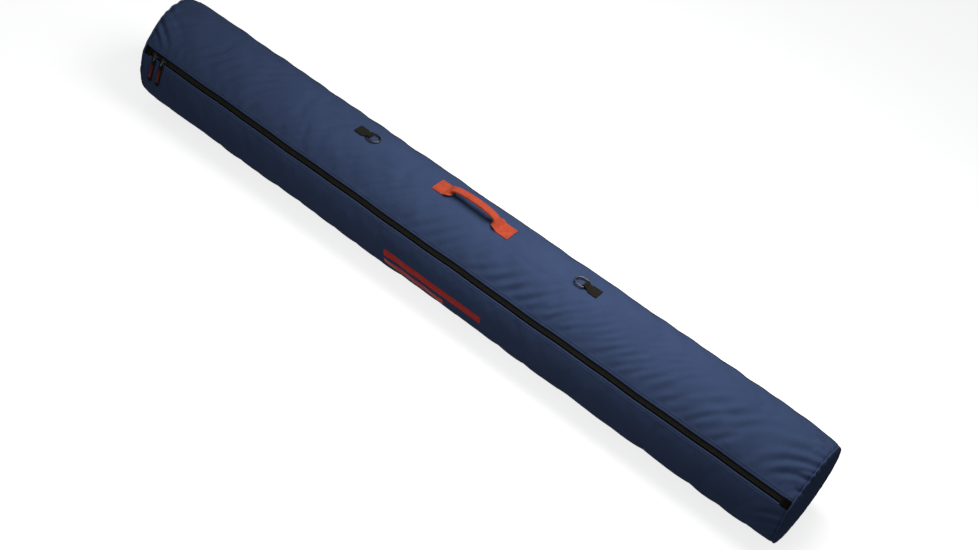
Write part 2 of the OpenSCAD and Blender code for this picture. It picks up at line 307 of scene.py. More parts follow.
def crease(x, around, route, depth, width, both):
    """A valley with a soft ridge on each side, along a route of (x, degrees) points.
    It is deepest at its first point, or in its middle if both ends fade."""
    ridge_share = 0.55
    route = np.asarray(route, float) * [1, math.radians(1) * RADIUS]
    line = spline(route, 22)
    lift = np.zeros_like(x)
    margin = 4 * width
    near = (
        (x > line[:, 0].min() - margin) & (x < line[:, 0].max() + margin)
        & (around > line[:, 1].min() - margin) & (around < line[:, 1].max() + margin)
    )
    offset, along = beside(line, x[near], around[near])
    fade = np.sin(math.pi * along) ** 0.8 if both else 1 - smoothstep((along - 0.25) / 0.75)
    width = width * (1 + 0.5 * along)
    valley = -np.exp(-(offset / width) ** 2)
    ridges = np.exp(-((offset - 2 * width) / (1.3 * width)) ** 2)
    ridges += np.exp(-((offset + 2 * width) / (1.3 * width)) ** 2)
    lift[near] = depth * fade * (valley + ridge_share * ridges)
    return lift


def make_cloth(made, held, frames):
    """Gives an object a cloth simulation: the cloth is cut a little too large, the air inside
    pushes it out, and held pins points in place."""
    pressure = 4.0
    slack = 0.015
    pins = made.vertex_groups.new(name="pins")
    pins.add(np.flatnonzero(held).tolist(), 1.0, "ADD")
    cloth = made.modifiers.new("cloth", "CLOTH")
    settings = cloth.settings
    settings.quality = 6
    settings.mass = 0.3
    settings.vertex_group_mass = "pins"
    settings.shrink_min = -slack
    settings.tension_stiffness = settings.compression_stiffness = 25
    settings.shear_stiffness = 12
    settings.bending_stiffness = 0.4
    settings.use_pressure = True
    settings.uniform_pressure_force = pressure
    settings.effector_weights.gravity = 0
    cloth.point_cache.frame_start = 1
    cloth.point_cache.frame_end = frames


def inflate(points, held):
    """Runs a short cloth simulation on a tube of points and returns where they end."""
    frames = 20
    form = Form()
    form.quads(form.add(points), wrap_columns=True)
    mesh = form.mesh("cloth_tube")
    tube_object = bpy.data.objects.new("cloth_tube", mesh)
    bpy.context.scene.collection.objects.link(tube_object)
    make_cloth(tube_object, held, frames)
    for number in range(1, frames + 1):
        bpy.context.scene.frame_set(number)
    shaped = tube_object.evaluated_get(bpy.context.evaluated_depsgraph_get())
    flat = np.zeros(points.size)
    shaped.data.vertices.foreach_get("co", flat)
    bpy.data.objects.remove(tube_object)
    bpy.data.meshes.remove(mesh)
    bpy.context.scene.frame_set(1)
    return flat.reshape(points.shape)


# Creases as route, depth and half width. A route's points are x in metres and degrees round the
# bag, and the rest is in millimetres. The right and left creases are deepest where they start,
# most of them at an end seam, and the open ones fade at both ends.
RIGHT_CREASES = [
    ([(0.842, 74), (0.806, 66), (0.776, 56), (0.754, 45), (0.738, 33)], 3.8, 6.0),
    ([(0.842, 57), (0.814, 53), (0.790, 46), (0.772, 38), (0.764, 31)], 3.6, 5.0),
    ([(0.842, 87), (0.808, 80), (0.768, 70), (0.728, 55), (0.702, 38)], 2.4, 7.5),
    ([(0.842, 66), (0.824, 61), (0.800, 54), (0.782, 45)], 2.2, 3.6),
    ([(0.800, 97), (0.752, 84), (0.706, 66), (0.680, 46)], 1.3, 8.0),
    ([(0.842, 43), (0.826, 38), (0.812, 36)], 2.0, 3.4),
    ([(0.842, 97), (0.822, 93), (0.800, 91)], 2.0, 3.8),
    ([(0.842, 112), (0.800, 104), (0.752, 90)], 1.5, 6.0),
    ([(0.842, 13), (0.805, 5), (0.772, -9)], 2.2, 4.5),
    ([(0.842, 2), (0.812, -7), (0.778, -22), (0.752, -36)], 2.4, 5.0),
    ([(0.842, -12), (0.812, -19), (0.790, -30)], 2.0, 4.5),
    ([(0.842, 126), (0.806, 128)], 1.6, 4.0),
    ([(0.842, 156), (0.800, 160), (0.765, 172)], 2.0, 5.5),
    ([(0.842, 184), (0.812, 190)], 1.8, 4.5),
]
LEFT_CREASES = [
    ([(-0.838, 60), (-0.818, 53), (-0.792, 43), (-0.776, 32)], 2.4, 4.6),
    ([(-0.838, 48), (-0.824, 44), (-0.808, 37), (-0.800, 31)], 1.9, 3.6),
    ([(-0.842, 78), (-0.806, 70), (-0.770, 58), (-0.748, 46)], 1.7, 7.0),
    ([(-0.820, 82), (-0.802, 88), (-0.776, 96)], 1.5, 5.0),
    ([(-0.842, 92), (-0.800, 102), (-0.742, 114)], 1.6, 7.0),
    ([(-0.842, 104), (-0.812, 112), (-0.775, 122)], 1.3, 5.5),
    ([(-0.842, 4), (-0.810, -6), (-0.782, -20)], 1.4, 5.0),
    ([(-0.842, 158), (-0.805, 166), (-0.760, 170)], 1.9, 5.5),
    ([(-0.842, 192), (-0.815, 196)], 1.6, 4.0),
]
OPEN_CREASES = [
    ([(-0.338, 92), (-0.362, 80), (-0.388, 64)], 1.7, 4.6),
    ([(-0.352, 100), (-0.392, 94), (-0.430, 82)], 1.2, 5.0),
    ([(-0.420, 62), (-0.405, 50), (-0.400, 38)], 0.9, 5.0),
    ([(0.318, 84), (0.331, 76), (0.338, 68)], 1.2, 3.4),
    ([(-0.125, 78), (-0.190, 73), (-0.262, 70)], 0.9, 5.0),
    ([(0.095, 76), (0.160, 72), (0.235, 73)], 0.8, 5.0),
    ([(-0.560, 118), (-0.640, 106), (-0.720, 98)], 1.2, 8.0),
    ([(0.520, 118), (0.600, 108), (0.690, 104)], 1.0, 8.0),
    ([(0.560, 60), (0.625, 66), (0.700, 62)], 0.9, 8.0),
    ([(0.130, -30), (0.190, -20), (0.240, -4)], 1.2, 7.0),
    ([(0.330, -34), (0.365, -24), (0.385, -8)], 1.3, 6.0),
    ([(-0.480, -32), (-0.440, -20), (-0.425, -6)], 1.0, 6.0),
    ([(-0.050, 150), (0.080, 158), (0.190, 150)], 1.4, 8.0),
    ([(0.340, 170), (0.430, 160), (0.520, 168)], 1.3, 7.0),
    ([(-0.450, 160), (-0.330, 172), (-0.220, 166)], 1.4, 8.0),
]


class Skin:
    """The outer surface of the filled bag, sampled on a fine grid and looked up by (x, angle)."""

    STEP_X = 2 * MM
    STEPS_ROUND = 360

    def __init__(self):
        count = int(round(2 * SEAM_X / self.STEP_X)) + 1
        self.x = np.linspace(-SEAM_X, SEAM_X, count)
        self.angle = np.linspace(0, TURN, self.STEPS_ROUND, endpoint=False)
        lift = self.lift()
        self.shape(lift)
        self.shape(lift + self.settled())

    def settled(self):
        """Inflates a coarser cloth copy of the bag and returns how far each point of the grid
        moved outwards. The copy is finest near the ends."""
        around = 72
        most = 2.3 * MM
        response = 4.2 * MM
        fine_length = 0.16
        coarse_x = SEAM_X - fine_length + 8 * MM
        fine = even(SEAM_X - fine_length, SEAM_X, 5 * MM)
        centre = even(-coarse_x, coarse_x, 8 * MM)[1:-1]
        x = np.concatenate([-fine[::-1], centre, fine])
        angle = np.linspace(0, TURN, around, endpoint=False)
        points, normal = self.at(x[:, None], angle[None, :])
        held = self.held(*np.meshgrid(x, angle, indexing="ij"))
        moved = (inflate(points, held) - points) * normal
        outward = most * np.tanh(moved.sum(axis=-1) / response)
        outward[points[..., Z] < 3 * MM] = 0
        outward = np.concatenate([outward, outward[:, :1]], axis=1)
        round_it = np.append(angle, TURN)
        rows = np.array([np.interp(self.angle, round_it, row) for row in outward])
        return np.array([np.interp(self.x, x, column) for column in rows.T]).T

    @staticmethod
    def held(x, angle):
        """True where the cloth is sewn down, printed or flat on the floor."""
        turned = Skin.from_zipper(angle)
        at_zipper = np.abs(turned) * RADIUS < 14 * MM
        at_back_seam = np.abs(angle - BACK_SEAM_ANGLE) * RADIUS < 6 * MM
        at_end_seam = np.abs(x) > SEAM_X - 2 * MM
        at_fitting = Skin.calm(x, angle) < 0.2
        at_print = np.abs(x - middle("front_print", X)) < 0.15
        at_print &= np.abs(turned + math.radians(44)) < 0.4
        on_floor = np.sin(angle) < -0.96
        return at_zipper | at_back_seam | at_end_seam | at_fitting | at_print | on_floor

    @staticmethod
    def from_zipper(angle):
        """The angle above the zipper, from half a turn below it to half a turn above."""
        return (angle + math.pi - ZIP_ANGLE) % TURN - math.pi

    def shape(self, lift):
        """Works out where the grid's points lie, and their normals, from how far they stand off."""
        radius = RADIUS + lift
        place = np.stack([
            self.x[:, None] - self.bow(self.x[:, None], self.angle[None, :]),
            -radius * np.cos(self.angle),
            AXIS_Z + radius * np.sin(self.angle),
        ], axis=-1)
        place[..., Z] = self.rest_on_floor(place[..., Z])
        self.place = place
        self.normal = tube_normals(place)

    @staticmethod
    def rest_on_floor(height):
        """The underside goes flat on the floor with a soft turn at each side."""
        softness = 4 * MM
        return (height + np.sqrt(height**2 + softness**2)) / 2 - 0.4 * MM

    def at(self, x, angle, height=0.0):
        """Points over the skin, and the outward normals there."""
        x, angle, height = np.broadcast_arrays(x, angle, height)
        column = np.clip((x + SEAM_X) / (2 * SEAM_X) * (len(self.x) - 1), 0, len(self.x) - 1.001)
        row = (angle / TURN * self.STEPS_ROUND) % self.STEPS_ROUND
        i, j = column.astype(int), row.astype(int) % self.STEPS_ROUND
        s, t = (column - i)[..., None], (row - np.floor(row))[..., None]
        after = (j + 1) % self.STEPS_ROUND

        def mix(values):
            left = values[i, j] * (1 - t) + values[i, after] * t
            right = values[i + 1, j] * (1 - t) + values[i + 1, after] * t
            return left * (1 - s) + right * s

        normal = unit(mix(self.normal))
        return mix(self.place) + height[..., None] * normal, normal

    def top(self, x, y):
        """Height of the skin's top over a point of the plan."""
        angle = math.pi / 2 + np.arcsin(y / RADIUS)
        return self.at(x, angle)[0][..., Z]

    def lift(self):
        """How far the fabric stands off the CAD radius, everywhere on the grid."""
        x, angle = np.meshgrid(self.x, self.angle, indexing="ij")
        rng = np.random.default_rng(7)
        turned = self.from_zipper(angle)
        from_zip = np.abs(turned) * RADIUS
        free = smoothstep((from_zip - 9 * MM) / (26 * MM))
        below = (turned < 0) & (turned > math.radians(-40))

        soft = self.waves(rng, x, angle, 16, (0.13, 0.50), (0, 4)) * 0.55 * MM
        small = self.waves(rng, x, angle, 18, (0.045, 0.11), (3, 14)) * 0.40 * MM
        slanted = self.ripples(rng, x, angle)
        calm = self.calm(x, angle)
        lift = (soft + small + slanted) * free * calm
        lift = np.where(below, np.minimum(lift, 0) * 0.9, lift)

        for route, depth, width in RIGHT_CREASES + LEFT_CREASES:
            lift += self.creased(x, angle, route, depth, width) * free
        for route, depth, width in OPEN_CREASES:
            lift += self.creased(x, angle, route, depth, width, both=True) * free * calm
        for side, strength in ((-1, 0.3), (1, 1.15)):
            lift += strength * self.puckers(rng, x, angle, side) * free
        lift += self.taper(x, angle) * smoothstep((from_zip - 8 * MM) / (34 * MM))
        # Nothing stands out where the pulls hang against the bag
        under_pull = smoothstep((np.cos(angle - math.radians(8)) - 0.93) / 0.05)
        return np.where(lift > 0, lift * (1 - under_pull), lift)

    @staticmethod
    def waves(rng, x, angle, count, lengths, turns):
        """Random soft waves. lengths and turns are the least and most of their length along the
        bag and of how often they repeat round it."""
        total = np.zeros_like(x)
        for _ in range(count):
            length = rng.uniform(*lengths)
            total += np.cos(TURN * x / length + rng.integers(*turns) * angle + rng.uniform(0, TURN))
        return total / math.sqrt(count)

    @staticmethod
    def ripples(rng, x, angle):
        """Faint slanted ripples over the zipper, in loose groups."""
        count = 64
        first, last = -0.78, 0.72
        reach_along, reach_round = 75 * MM, 38 * MM
        total = np.zeros_like(x)
        for k in range(count):
            middle_x = first + (last - first) * (k + rng.uniform(-1, 1)) / (count - 1)
            middle_angle = math.radians(rng.uniform(34, 74))
            slant = rng.uniform(0.45, 1.3)
            length = rng.uniform(20, 42) * MM
            along, around = x - middle_x, (angle - middle_angle) * RADIUS
            reach = (along / reach_along) ** 2 + (around / reach_round) ** 2
            wave = np.cos(TURN * (along - slant * around) / length)
            total += np.exp(-reach) * wave * rng.uniform(0.2, 1.0)
        return total * 0.95 * MM

    @staticmethod
    def creased(x, angle, route, depth, width, both=False):
        """One crease on the grid. A route with a negative angle may cross the front at 0."""
        around = angle * RADIUS
        if min(a for _, a in route) < 0:
            around = ((angle + math.pi) % TURN - math.pi) * RADIUS
        return crease(x, around, route, depth * MM, width * MM, both=both)

    def puckers(self, rng, x, angle, side):
        """Short gathers all round one end seam."""
        total = np.zeros_like(x)
        count = 42
        for k in range(count):
            at = 360 / count * (k + rng.uniform(-0.3, 0.3))
            reach = rng.uniform(12, 30) * MM
            slant = rng.uniform(-5, 5)
            depth = rng.uniform(0.5, 1.3)
            route = [(side * SEAM_X, at), (side * (SEAM_X - reach), at + slant)]
            total += self.creased(x, angle, route, depth, rng.uniform(2.2, 3.2))
        return total

    @staticmethod
    def taper(x, angle):
        """The ends draw in towards their seams, the right one most at its top."""
        left = 2.6 * MM * np.clip((-x - 0.795) / (SEAM_X - 0.795), 0, 1) ** 2.5
        right = 6.0 * MM * np.clip((x - 0.745) / (SEAM_X - 0.745), 0, 1) ** 2.0
        return -left - right * (1 + 0.7 * np.sin(angle))

    @staticmethod
    def bow(x, angle):
        """The left end leans outwards, most at the top of its back."""
        near = smoothstep((-x - 0.60) / (SEAM_X - 0.60)) ** 2
        return 29 * MM * near * ((1 + np.cos(angle - math.radians(136))) / 2) ** 2

    @staticmethod
    def calm(x, angle):
        """Almost 0 where a fitting is sewn down, 1 elsewhere."""
        from_top = np.abs(angle - math.pi / 2) * RADIUS
        calm = np.ones_like(x)
        for kind, half in (("handle_end_", WEB_HALF), ("d_ring_loop_", TAB_HALF)):
            for node in (kind + name for name in SIDES):
                outside_x = np.abs(x - middle(node, X)) - (high(node, X) - low(node, X)) / 2
                outside = np.hypot(np.maximum(outside_x, 0), np.maximum(from_top - half, 0))
                calm = np.minimum(calm, 0.12 + 0.88 * smoothstep(outside / (24 * MM)))
        return calm


# --- Materials ---


class Paint:
    """Builds one material's nodes. A value may be a number, a colour or another node's output."""

    def __init__(self, name, **inputs):
        self.material = bpy.data.materials.new(name)
        self.material.use_nodes = True
        self.tree = self.material.node_tree
        self.shader = self.tree.nodes["Principled BSDF"]
        self.set(**inputs)

    def plug(self, socket, value):
        if isinstance(value, bpy.types.NodeSocket):
            self.tree.links.new(value, socket)
        elif isinstance(value, (tuple, list)) and len(value) == 3 and socket.type == "RGBA":
            socket.default_value = (*value, 1)
        else:
            socket.default_value = value

    def set(self, **inputs):
        for name, value in inputs.items():
            self.plug(self.shader.inputs[name.replace("_", " ")], value)
        return self

    def node(self, kind, inputs=None, out=0, **settings):
        made = self.tree.nodes.new("ShaderNode" + kind)
        for name, value in settings.items():
            setattr(made, name, value)
        for name, value in (inputs or {}).items():
            self.plug(made.inputs[name], value)
        return made.outputs[out]

    def math(self, operation, a, b=0.0):
        return self.node("Math", {0: a, 1: b}, operation=operation)

    def mix(self, share, dark, light):
        made = self.tree.nodes.new("ShaderNodeMix")
        made.data_type = "RGBA"
        self.plug(made.inputs[0], share)
        self.plug(made.inputs[6], dark)
        self.plug(made.inputs[7], light)
        return made.outputs[2]

    def scaled(self, vector, scale):
        return self.node("VectorMath", {0: vector, 1: scale}, operation="MULTIPLY")

    def noise(self, vector, scale=1.0, detail=3.0, rough=0.5):
        return self.node(
            "TexNoise", {"Vector": vector, "Scale": scale, "Detail": detail, "Roughness": rough}
        )

    def stretch(self, value, start, end, first=0.0, last=1.0):
        return self.node("MapRange", {
            "Value": value, "From Min": start, "From Max": end, "To Min": first, "To Max": last,
        })

    def metres(self):
        """Texture coordinates along and across the cloth, in metres."""
        uv = self.node("UVMap")
        parts = self.tree.nodes.new("ShaderNodeSeparateXYZ")
        self.plug(parts.inputs[0], uv)
        return uv, parts.outputs[0], parts.outputs[1]

    def wave(self, along, period):
        return self.math("SINE", self.math("MULTIPLY", along, TURN / period))

    def bump(self, height, distance, strength=1.0, normal=None):
        inputs = {"Height": height, "Distance": distance, "Strength": strength}
        if normal:
            inputs["Normal"] = normal
        return self.node("Bump", inputs)


def tinted(colour, factor):
    return tuple(c * factor for c in colour)


def plain_weave(paint, along, across, pitch):
    """A height that goes up and down along the cloth and across it."""
    return paint.math("MULTIPLY", paint.wave(along, pitch), paint.wave(across, pitch))


def woven(name, colour, sheen=0.03):
    """Tight plain-weave polyester: threads both ways, faint slubs and soft colour variation."""
    pitch = 1.5 * MM
    rough = 0.58
    mottle = 0.14
    paint = Paint(name)
    uv, along, across = paint.metres()
    weave = plain_weave(paint, along, across, pitch)
    threads = plain_weave(paint, along, across, pitch / 4)
    weave = paint.math("ADD", weave, paint.math("MULTIPLY", threads, 0.3))
    slub_along = paint.noise(paint.scaled(uv, (60, 1400, 1)), detail=1.5)
    slub_across = paint.noise(paint.scaled(uv, (1400, 60, 1)), detail=1.5)
    cloud = paint.noise(uv, 11, detail=4, rough=0.6)
    fine = paint.noise(uv, 160, detail=3, rough=0.6)
    slubs = paint.math("ADD", slub_along, slub_across)
    share = paint.math("ADD", paint.math("MULTIPLY", slubs, 0.30), paint.math("MULTIPLY", cloud, 0.75))
    share = paint.stretch(share, 0.35, 1.0)
    base = paint.mix(share, tinted(colour, 1 - mottle), tinted(colour, 1 + mottle))
    worn = paint.stretch(fine, 0.55, 0.8, 0, 0.10)
    base = paint.mix(worn, base, tinted(colour, 1.6))
    # Painted shade and highlight: the colour follows the weave's height, darker where the threads dip
    # and lighter where they cross over.
    weave_shade = paint.stretch(weave, -0.9, 0.9, 0.80, 1.17)
    base = paint.scaled(base, weave_shade)
    height = paint.math("ADD", weave, paint.math("MULTIPLY", slubs, 0.9))
    normal = paint.bump(height, 0.06 * MM)
    crumple = paint.noise(uv, 70, detail=3, rough=0.55)
    normal = paint.bump(crumple, 0.35 * MM, 0.55, normal)
    roughness = paint.stretch(slubs, 0.6, 1.4, rough - 0.07, rough + 0.07)
    paint.set(Base_Color=base, Roughness=roughness, Normal=normal)
    paint.set(Sheen_Weight=sheen, Sheen_Roughness=0.45, Specular_IOR_Level=0.0)
    paint.shader.inputs["Sheen Tint"].default_value = (0.75, 0.85, 1.0, 1)
    return paint.material


def webbing(name, colour, rib=1.3 * MM, depth=0.12 * MM):
    """Flat webbing: a chevron of ribs along it, with shallow crosswise picks."""
    paint = Paint(name)
    uv, along, across = paint.metres()
    zigzag = paint.math("PINGPONG", across, 2.4 * MM)
    slanted = paint.math("ADD", along, paint.math("MULTIPLY", zigzag, 0.9))
    ribs = paint.wave(slanted, rib)
    picks = paint.wave(across, 0.8 * MM)
    cloud = paint.noise(uv, 55, detail=4, rough=0.65)
    height = paint.math("ADD", ribs, paint.math("MULTIPLY", picks, 0.35))
    # Painted shade and highlight: the colour follows the rib height, darker in the valleys and lighter
    # on the tops. The cloud noise adds random tone.
    shade = paint.stretch(height, -1.2, 1.2, 0.15, 0.75)
    shade = paint.math("ADD", shade, paint.stretch(cloud, 0.3, 0.7, -0.15, 0.25))
    base = paint.mix(shade, tinted(colour, 0.62), tinted(colour, 1.22))
    paint.set(Base_Color=base, Roughness=0.62, Normal=paint.bump(height, depth))
    paint.set(Sheen_Weight=0.03, Sheen_Roughness=0.4, Specular_IOR_Level=0.0)
    return paint.material


def zip_tape_cloth(name, colour, coil_pitch):
    """Zipper tape: fine lengthwise ribs, a cross rib over each turn of the coil behind it, and painted
    shade along its edges under the fabric lips.
    """
    paint = Paint(name)
    uv, along, across = paint.metres()
    ribs = paint.wave(across, 1.0 * MM)
    turns = paint.wave(along, coil_pitch)
    over_coil = paint.stretch(paint.math("ABSOLUTE", across), 4.0 * MM, 3.2 * MM)
    turns = paint.math("MULTIPLY", turns, over_coil)
    height = paint.math("ADD", paint.math("MULTIPLY", ribs, 0.4), turns)
    dust = paint.noise(uv, 40, detail=5, rough=0.6)
    base = paint.mix(paint.stretch(dust, 0.35, 0.7), tinted(colour, 0.7), tinted(colour, 1.3))
    # Painted shade: past the coil the tape's colour drops to near black, standing in for the shadow
    # under the fabric lips. The same mask lowers the specular there.
    lip_shade_mask = paint.stretch(paint.math("ABSOLUTE", across), 3.9 * MM, 4.8 * MM)
    base = paint.mix(lip_shade_mask, base, tinted(colour, 0.22))
    paint.set(Base_Color=base, Normal=paint.bump(height, 0.10 * MM))
    paint.set(Roughness=paint.stretch(dust, 0.3, 0.7, 0.42, 0.58))
    paint.set(Specular_IOR_Level=paint.stretch(lip_shade_mask, 0, 1, 0.12, 0.02))
    return paint.material


def thread(name, colour):
    """Twisted sewing thread."""
    paint = Paint(name)
    twist = paint.node("TexWave", {
        "Vector": paint.node("TexCoord", out=3), "Scale": 900.0, "Distortion": 1.5,
    }, out=1, bands_direction="DIAGONAL")
    base = paint.mix(twist, tinted(colour, 0.7), tinted(colour, 1.25))
    paint.set(Base_Color=base, Roughness=0.6, Sheen_Weight=0.04, Specular_IOR_Level=0.1)
    paint.set(Normal=paint.bump(twist, 0.05 * MM))
    return paint.material


def metal(name, colour, rough, edge):
    """Dark plated metal with fine scratches, and brighter wear where noise says it was handled."""
    paint = Paint(name, Metallic=1.0)
    place = paint.node("TexCoord", out=3)
    brushed = paint.noise(paint.scaled(place, (300, 2600, 2600)), detail=3)
    blotch = paint.noise(place, 420, detail=4, rough=0.65)
    worn = paint.stretch(blotch, 0.56, 0.72)
    base = paint.mix(paint.math("MULTIPLY", worn, 0.6), colour, edge)
    paint.set(Base_Color=base, Roughness=paint.stretch(brushed, 0.3, 0.7, rough - 0.08, rough + 0.12))
    paint.set(Normal=paint.bump(brushed, 0.012 * MM))
    return paint.material


def moulded(name, colour, rough, gloss=0.3):
    """Moulded plastic with a fine spark-eroded grain and rubbed high spots."""
    paint = Paint(name)
    place = paint.node("TexCoord", out=3)
    fine = paint.noise(place, 3200, detail=2)
    rub = paint.noise(place, 260, detail=4, rough=0.6)
    base = paint.mix(paint.stretch(rub, 0.4, 0.75), tinted(colour, 0.85), tinted(colour, 1.35))
    paint.set(Base_Color=base, Normal=paint.bump(fine, 0.02 * MM))
    paint.set(Roughness=paint.stretch(rub, 0.3, 0.7, rough + 0.06, rough - 0.08))
    paint.set(Specular_IOR_Level=gloss)
    return paint.material


def printed(name, colour):
    """Screen-printed ink: the weave shows through, with hairline cracks."""
    paint = Paint(name)
    uv, along, across = paint.metres()
    weave = plain_weave(paint, along, across, 0.55 * MM)
    cracks = paint.node("TexVoronoi", {"Vector": uv, "Scale": 190.0}, feature="DISTANCE_TO_EDGE")
    crack = paint.stretch(cracks, 0.0, 0.035, 1, 0)
    cloud = paint.noise(uv, 60, detail=4)
    base = paint.mix(paint.stretch(cloud, 0.3, 0.7), tinted(colour, 0.82), tinted(colour, 1.12))
    base = paint.mix(paint.math("MULTIPLY", crack, 0.25), base, tinted(colour, 0.35))
    height = paint.math("SUBTRACT", paint.math("MULTIPLY", weave, 0.5), crack)
    paint.set(Base_Color=base, Roughness=0.5, Normal=paint.bump(height, 0.015 * MM))
    paint.set(Specular_IOR_Level=0.05)
    return paint.material


NAVY = (0.0405, 0.0615, 0.127)
ORANGE = (0.565, 0.086, 0.042)
BLACK = (0.0075, 0.0073, 0.0065)
COIL_PITCH = 2.2 * MM

skin = Skin()
navy_cloth = woven("navy_fabric", NAVY)
navy_end_cloth = woven("navy_end_fabric", tinted(NAVY, 0.92))
navy_welt = woven("navy_piping", tinted(NAVY, 0.95), sheen=0.05)
binding_cloth = webbing("binding_tape", tinted(BLACK, 1.3))
seam_cloth = webbing("black_seam_tape", BLACK, rib=0.9 * MM, depth=0.06 * MM)
zip_cloth = zip_tape_cloth("zip_tape", (0.0145, 0.0134, 0.0080), COIL_PITCH)
coil_nylon = moulded("zip_coil", (0.022, 0.020, 0.014), 0.35)
slider_black = metal("slider_metal", (0.045, 0.046, 0.050), 0.24, (0.24, 0.24, 0.25))
link_black = metal("link_metal", (0.060, 0.061, 0.065), 0.28, (0.28, 0.28, 0.29))
pull_black = moulded("pull_moulding", (0.0035, 0.0035, 0.0038), 0.5, gloss=0.03)
pull_red = moulded("pull_red", (0.105, 0.0042, 0.0028), 0.36, gloss=0.06)
gunmetal = metal("ring_metal", (0.085, 0.088, 0.094), 0.36, (0.2, 0.2, 0.205))
black_webbing = webbing("black_webbing", (0.0205, 0.0190, 0.0135))
orange_webbing = webbing("orange_webbing", ORANGE, depth=0.16 * MM)
backing_cloth = woven("backing_cloth", tinted(BLACK, 1.4))
red_ink = printed("red_print", (0.42, 0.012, 0.004))
navy_thread = thread("navy_thread", tinted(NAVY, 1.5))
black_thread = thread("black_thread", tinted(BLACK, 2.2))
orange_thread = thread("orange_thread", tinted(ORANGE, 0.62))


# --- Body panels ---


def sheet(x, angle, across, top, under, flip=True, form=None):
    """A closed sheet over the skin, from one height to another. Its texture runs along x and across."""
    form = form or Form()
    outer, _ = skin.at(x, angle, top)
    inner, _ = skin.at(x, angle, under)
    uv = np.stack(np.broadcast_arrays(x, across), axis=-1)
    if flip:
        outer, inner, uv = outer[:, ::-1], inner[:, ::-1], uv[:, ::-1]
    form.slab(outer, inner, uv)
    return form


def zip_wander(x):
    """The zipper's small sideways waves, which die out where the sliders rest."""
    free = 1 - smoothstep((np.abs(x) - 0.66) / 0.10)
    return free * (0.55 * MM * np.sin(TURN * x / 0.31 + 0.6) + 0.35 * MM * np.sin(TURN * x / 0.13))


def panel_columns():
    fine = np.concatenate([
        PANEL_X - np.array([0, 0.5, 1.1, 2, 3, 4.2, 5.6]) * MM,
        even(PANEL_X - 7.2 * MM, 0.752, 2.0 * MM),
    ])
    centre = even(-0.748, 0.748, 4.1 * MM)
    return np.concatenate([-fine, centre, fine[::-1]])


STITCH_LINE = 4.9 * MM


def hem(distance):
    """The sewn edge beside the zipper: a flat hem, a stitched groove and a soft ridge."""
    return MM * (
        0.35 * bell(distance, 2.6 * MM, 1.5 * MM)
        - 0.50 * bell(distance, STITCH_LINE, 0.8 * MM)
        + 0.38 * bell(distance, 7.4 * MM, 1.8 * MM)
    )


def hem_rows(last, step):
    """Distances from the zipper edge, and the outer and inner heights of each row there."""
    fold = np.array([0, 0.18, 0.62, 1.25]) * MM
    fold_outer = np.array([-1.2, -0.62, -0.18, 0]) * MM
    fold_inner = np.array([-1.3, -1.9, -2.35, -2.5]) * MM
    near = np.array([1.9, 2.6, 3.3, 3.9, 4.4, 4.9, 5.4, 6.0, 6.8, 7.6, 8.6, 10, 12.5, 16]) * MM
    far = even(20 * MM, last - 5 * MM, step)
    edge = last - np.array([3.2, 1.8, 0.8, 0]) * MM
    edge_outer = np.array([0, -0.15, -0.5, -1.1]) * MM
    rows = np.concatenate([fold, near, far, edge])
    outer = np.concatenate([fold_outer, hem(near), 0 * far, edge_outer])
    inner = np.full(len(rows), -FABRIC)
    inner[:len(fold)] = fold_inner
    return rows, outer, inner


def end_roll(x):
    """Next to an end seam the fabric turns in towards the welt."""
    return -2.0 * MM * np.exp(-(PANEL_X - np.abs(x)) / (2.6 * MM))


def body_panel(name, direction, step, replaces):
    """A panel from the zipper's edge round to the back seam: direction is 1 up or -1 down."""
    edge = ZIP_ANGLE + direction * arc(ZIP_GAP / 2)
    seam = BACK_SEAM_ANGLE - (TURN if direction < 0 else 0)
    rows, outer, inner = hem_rows(abs(seam - edge) * RADIUS, step)
    columns = panel_columns()
    shift = zip_wander(columns)[:, None] * (1 - smoothstep((rows - 4 * MM) / (60 * MM)))
    angle = edge + direction * arc(rows)[None, :] + arc(shift)
    x = columns[:, None]
    roll = end_roll(x)
    under = np.minimum(inner, outer - 0.1 * MM) + 0.35 * roll
    form = sheet(x, angle, (angle - ZIP_ANGLE) * RADIUS, outer + roll, under, flip=direction > 0)
    made = piece(name, form, navy_cloth, "bag", [replaces])


def topstitching():
    """One row beside each edge of the zipper, in a shallow groove."""
    form = Form()
    x = even(-PANEL_X + 4 * MM, PANEL_X - 4 * MM, 4 * MM)
    for direction in (-1, 1):
        angle = ZIP_ANGLE + direction * arc(ZIP_GAP / 2 + STITCH_LINE) + arc(zip_wander(x))
        stitches(form, *skin.at(x, angle, -0.45 * MM))
    piece("zip_topstitching", form, navy_thread, "bag")


def make_body():
    body_panel("upper_panel_cloth", 1, 3.2 * MM, "upper_panel")
    body_panel("lower_panel_cloth", -1, 4.6 * MM, "lower_panel")
    topstitching()


# --- End panels, welts and inside bindings ---


def end_ring(side, height, x=None):
    """A ring of points at an end seam, at a height over the skin."""
    angle = np.linspace(0, TURN, 360, endpoint=False)
    place, _ = skin.at(side * SEAM_X, angle, height)
    if x is not None:
        place[:, X] = side * x
    return place, angle


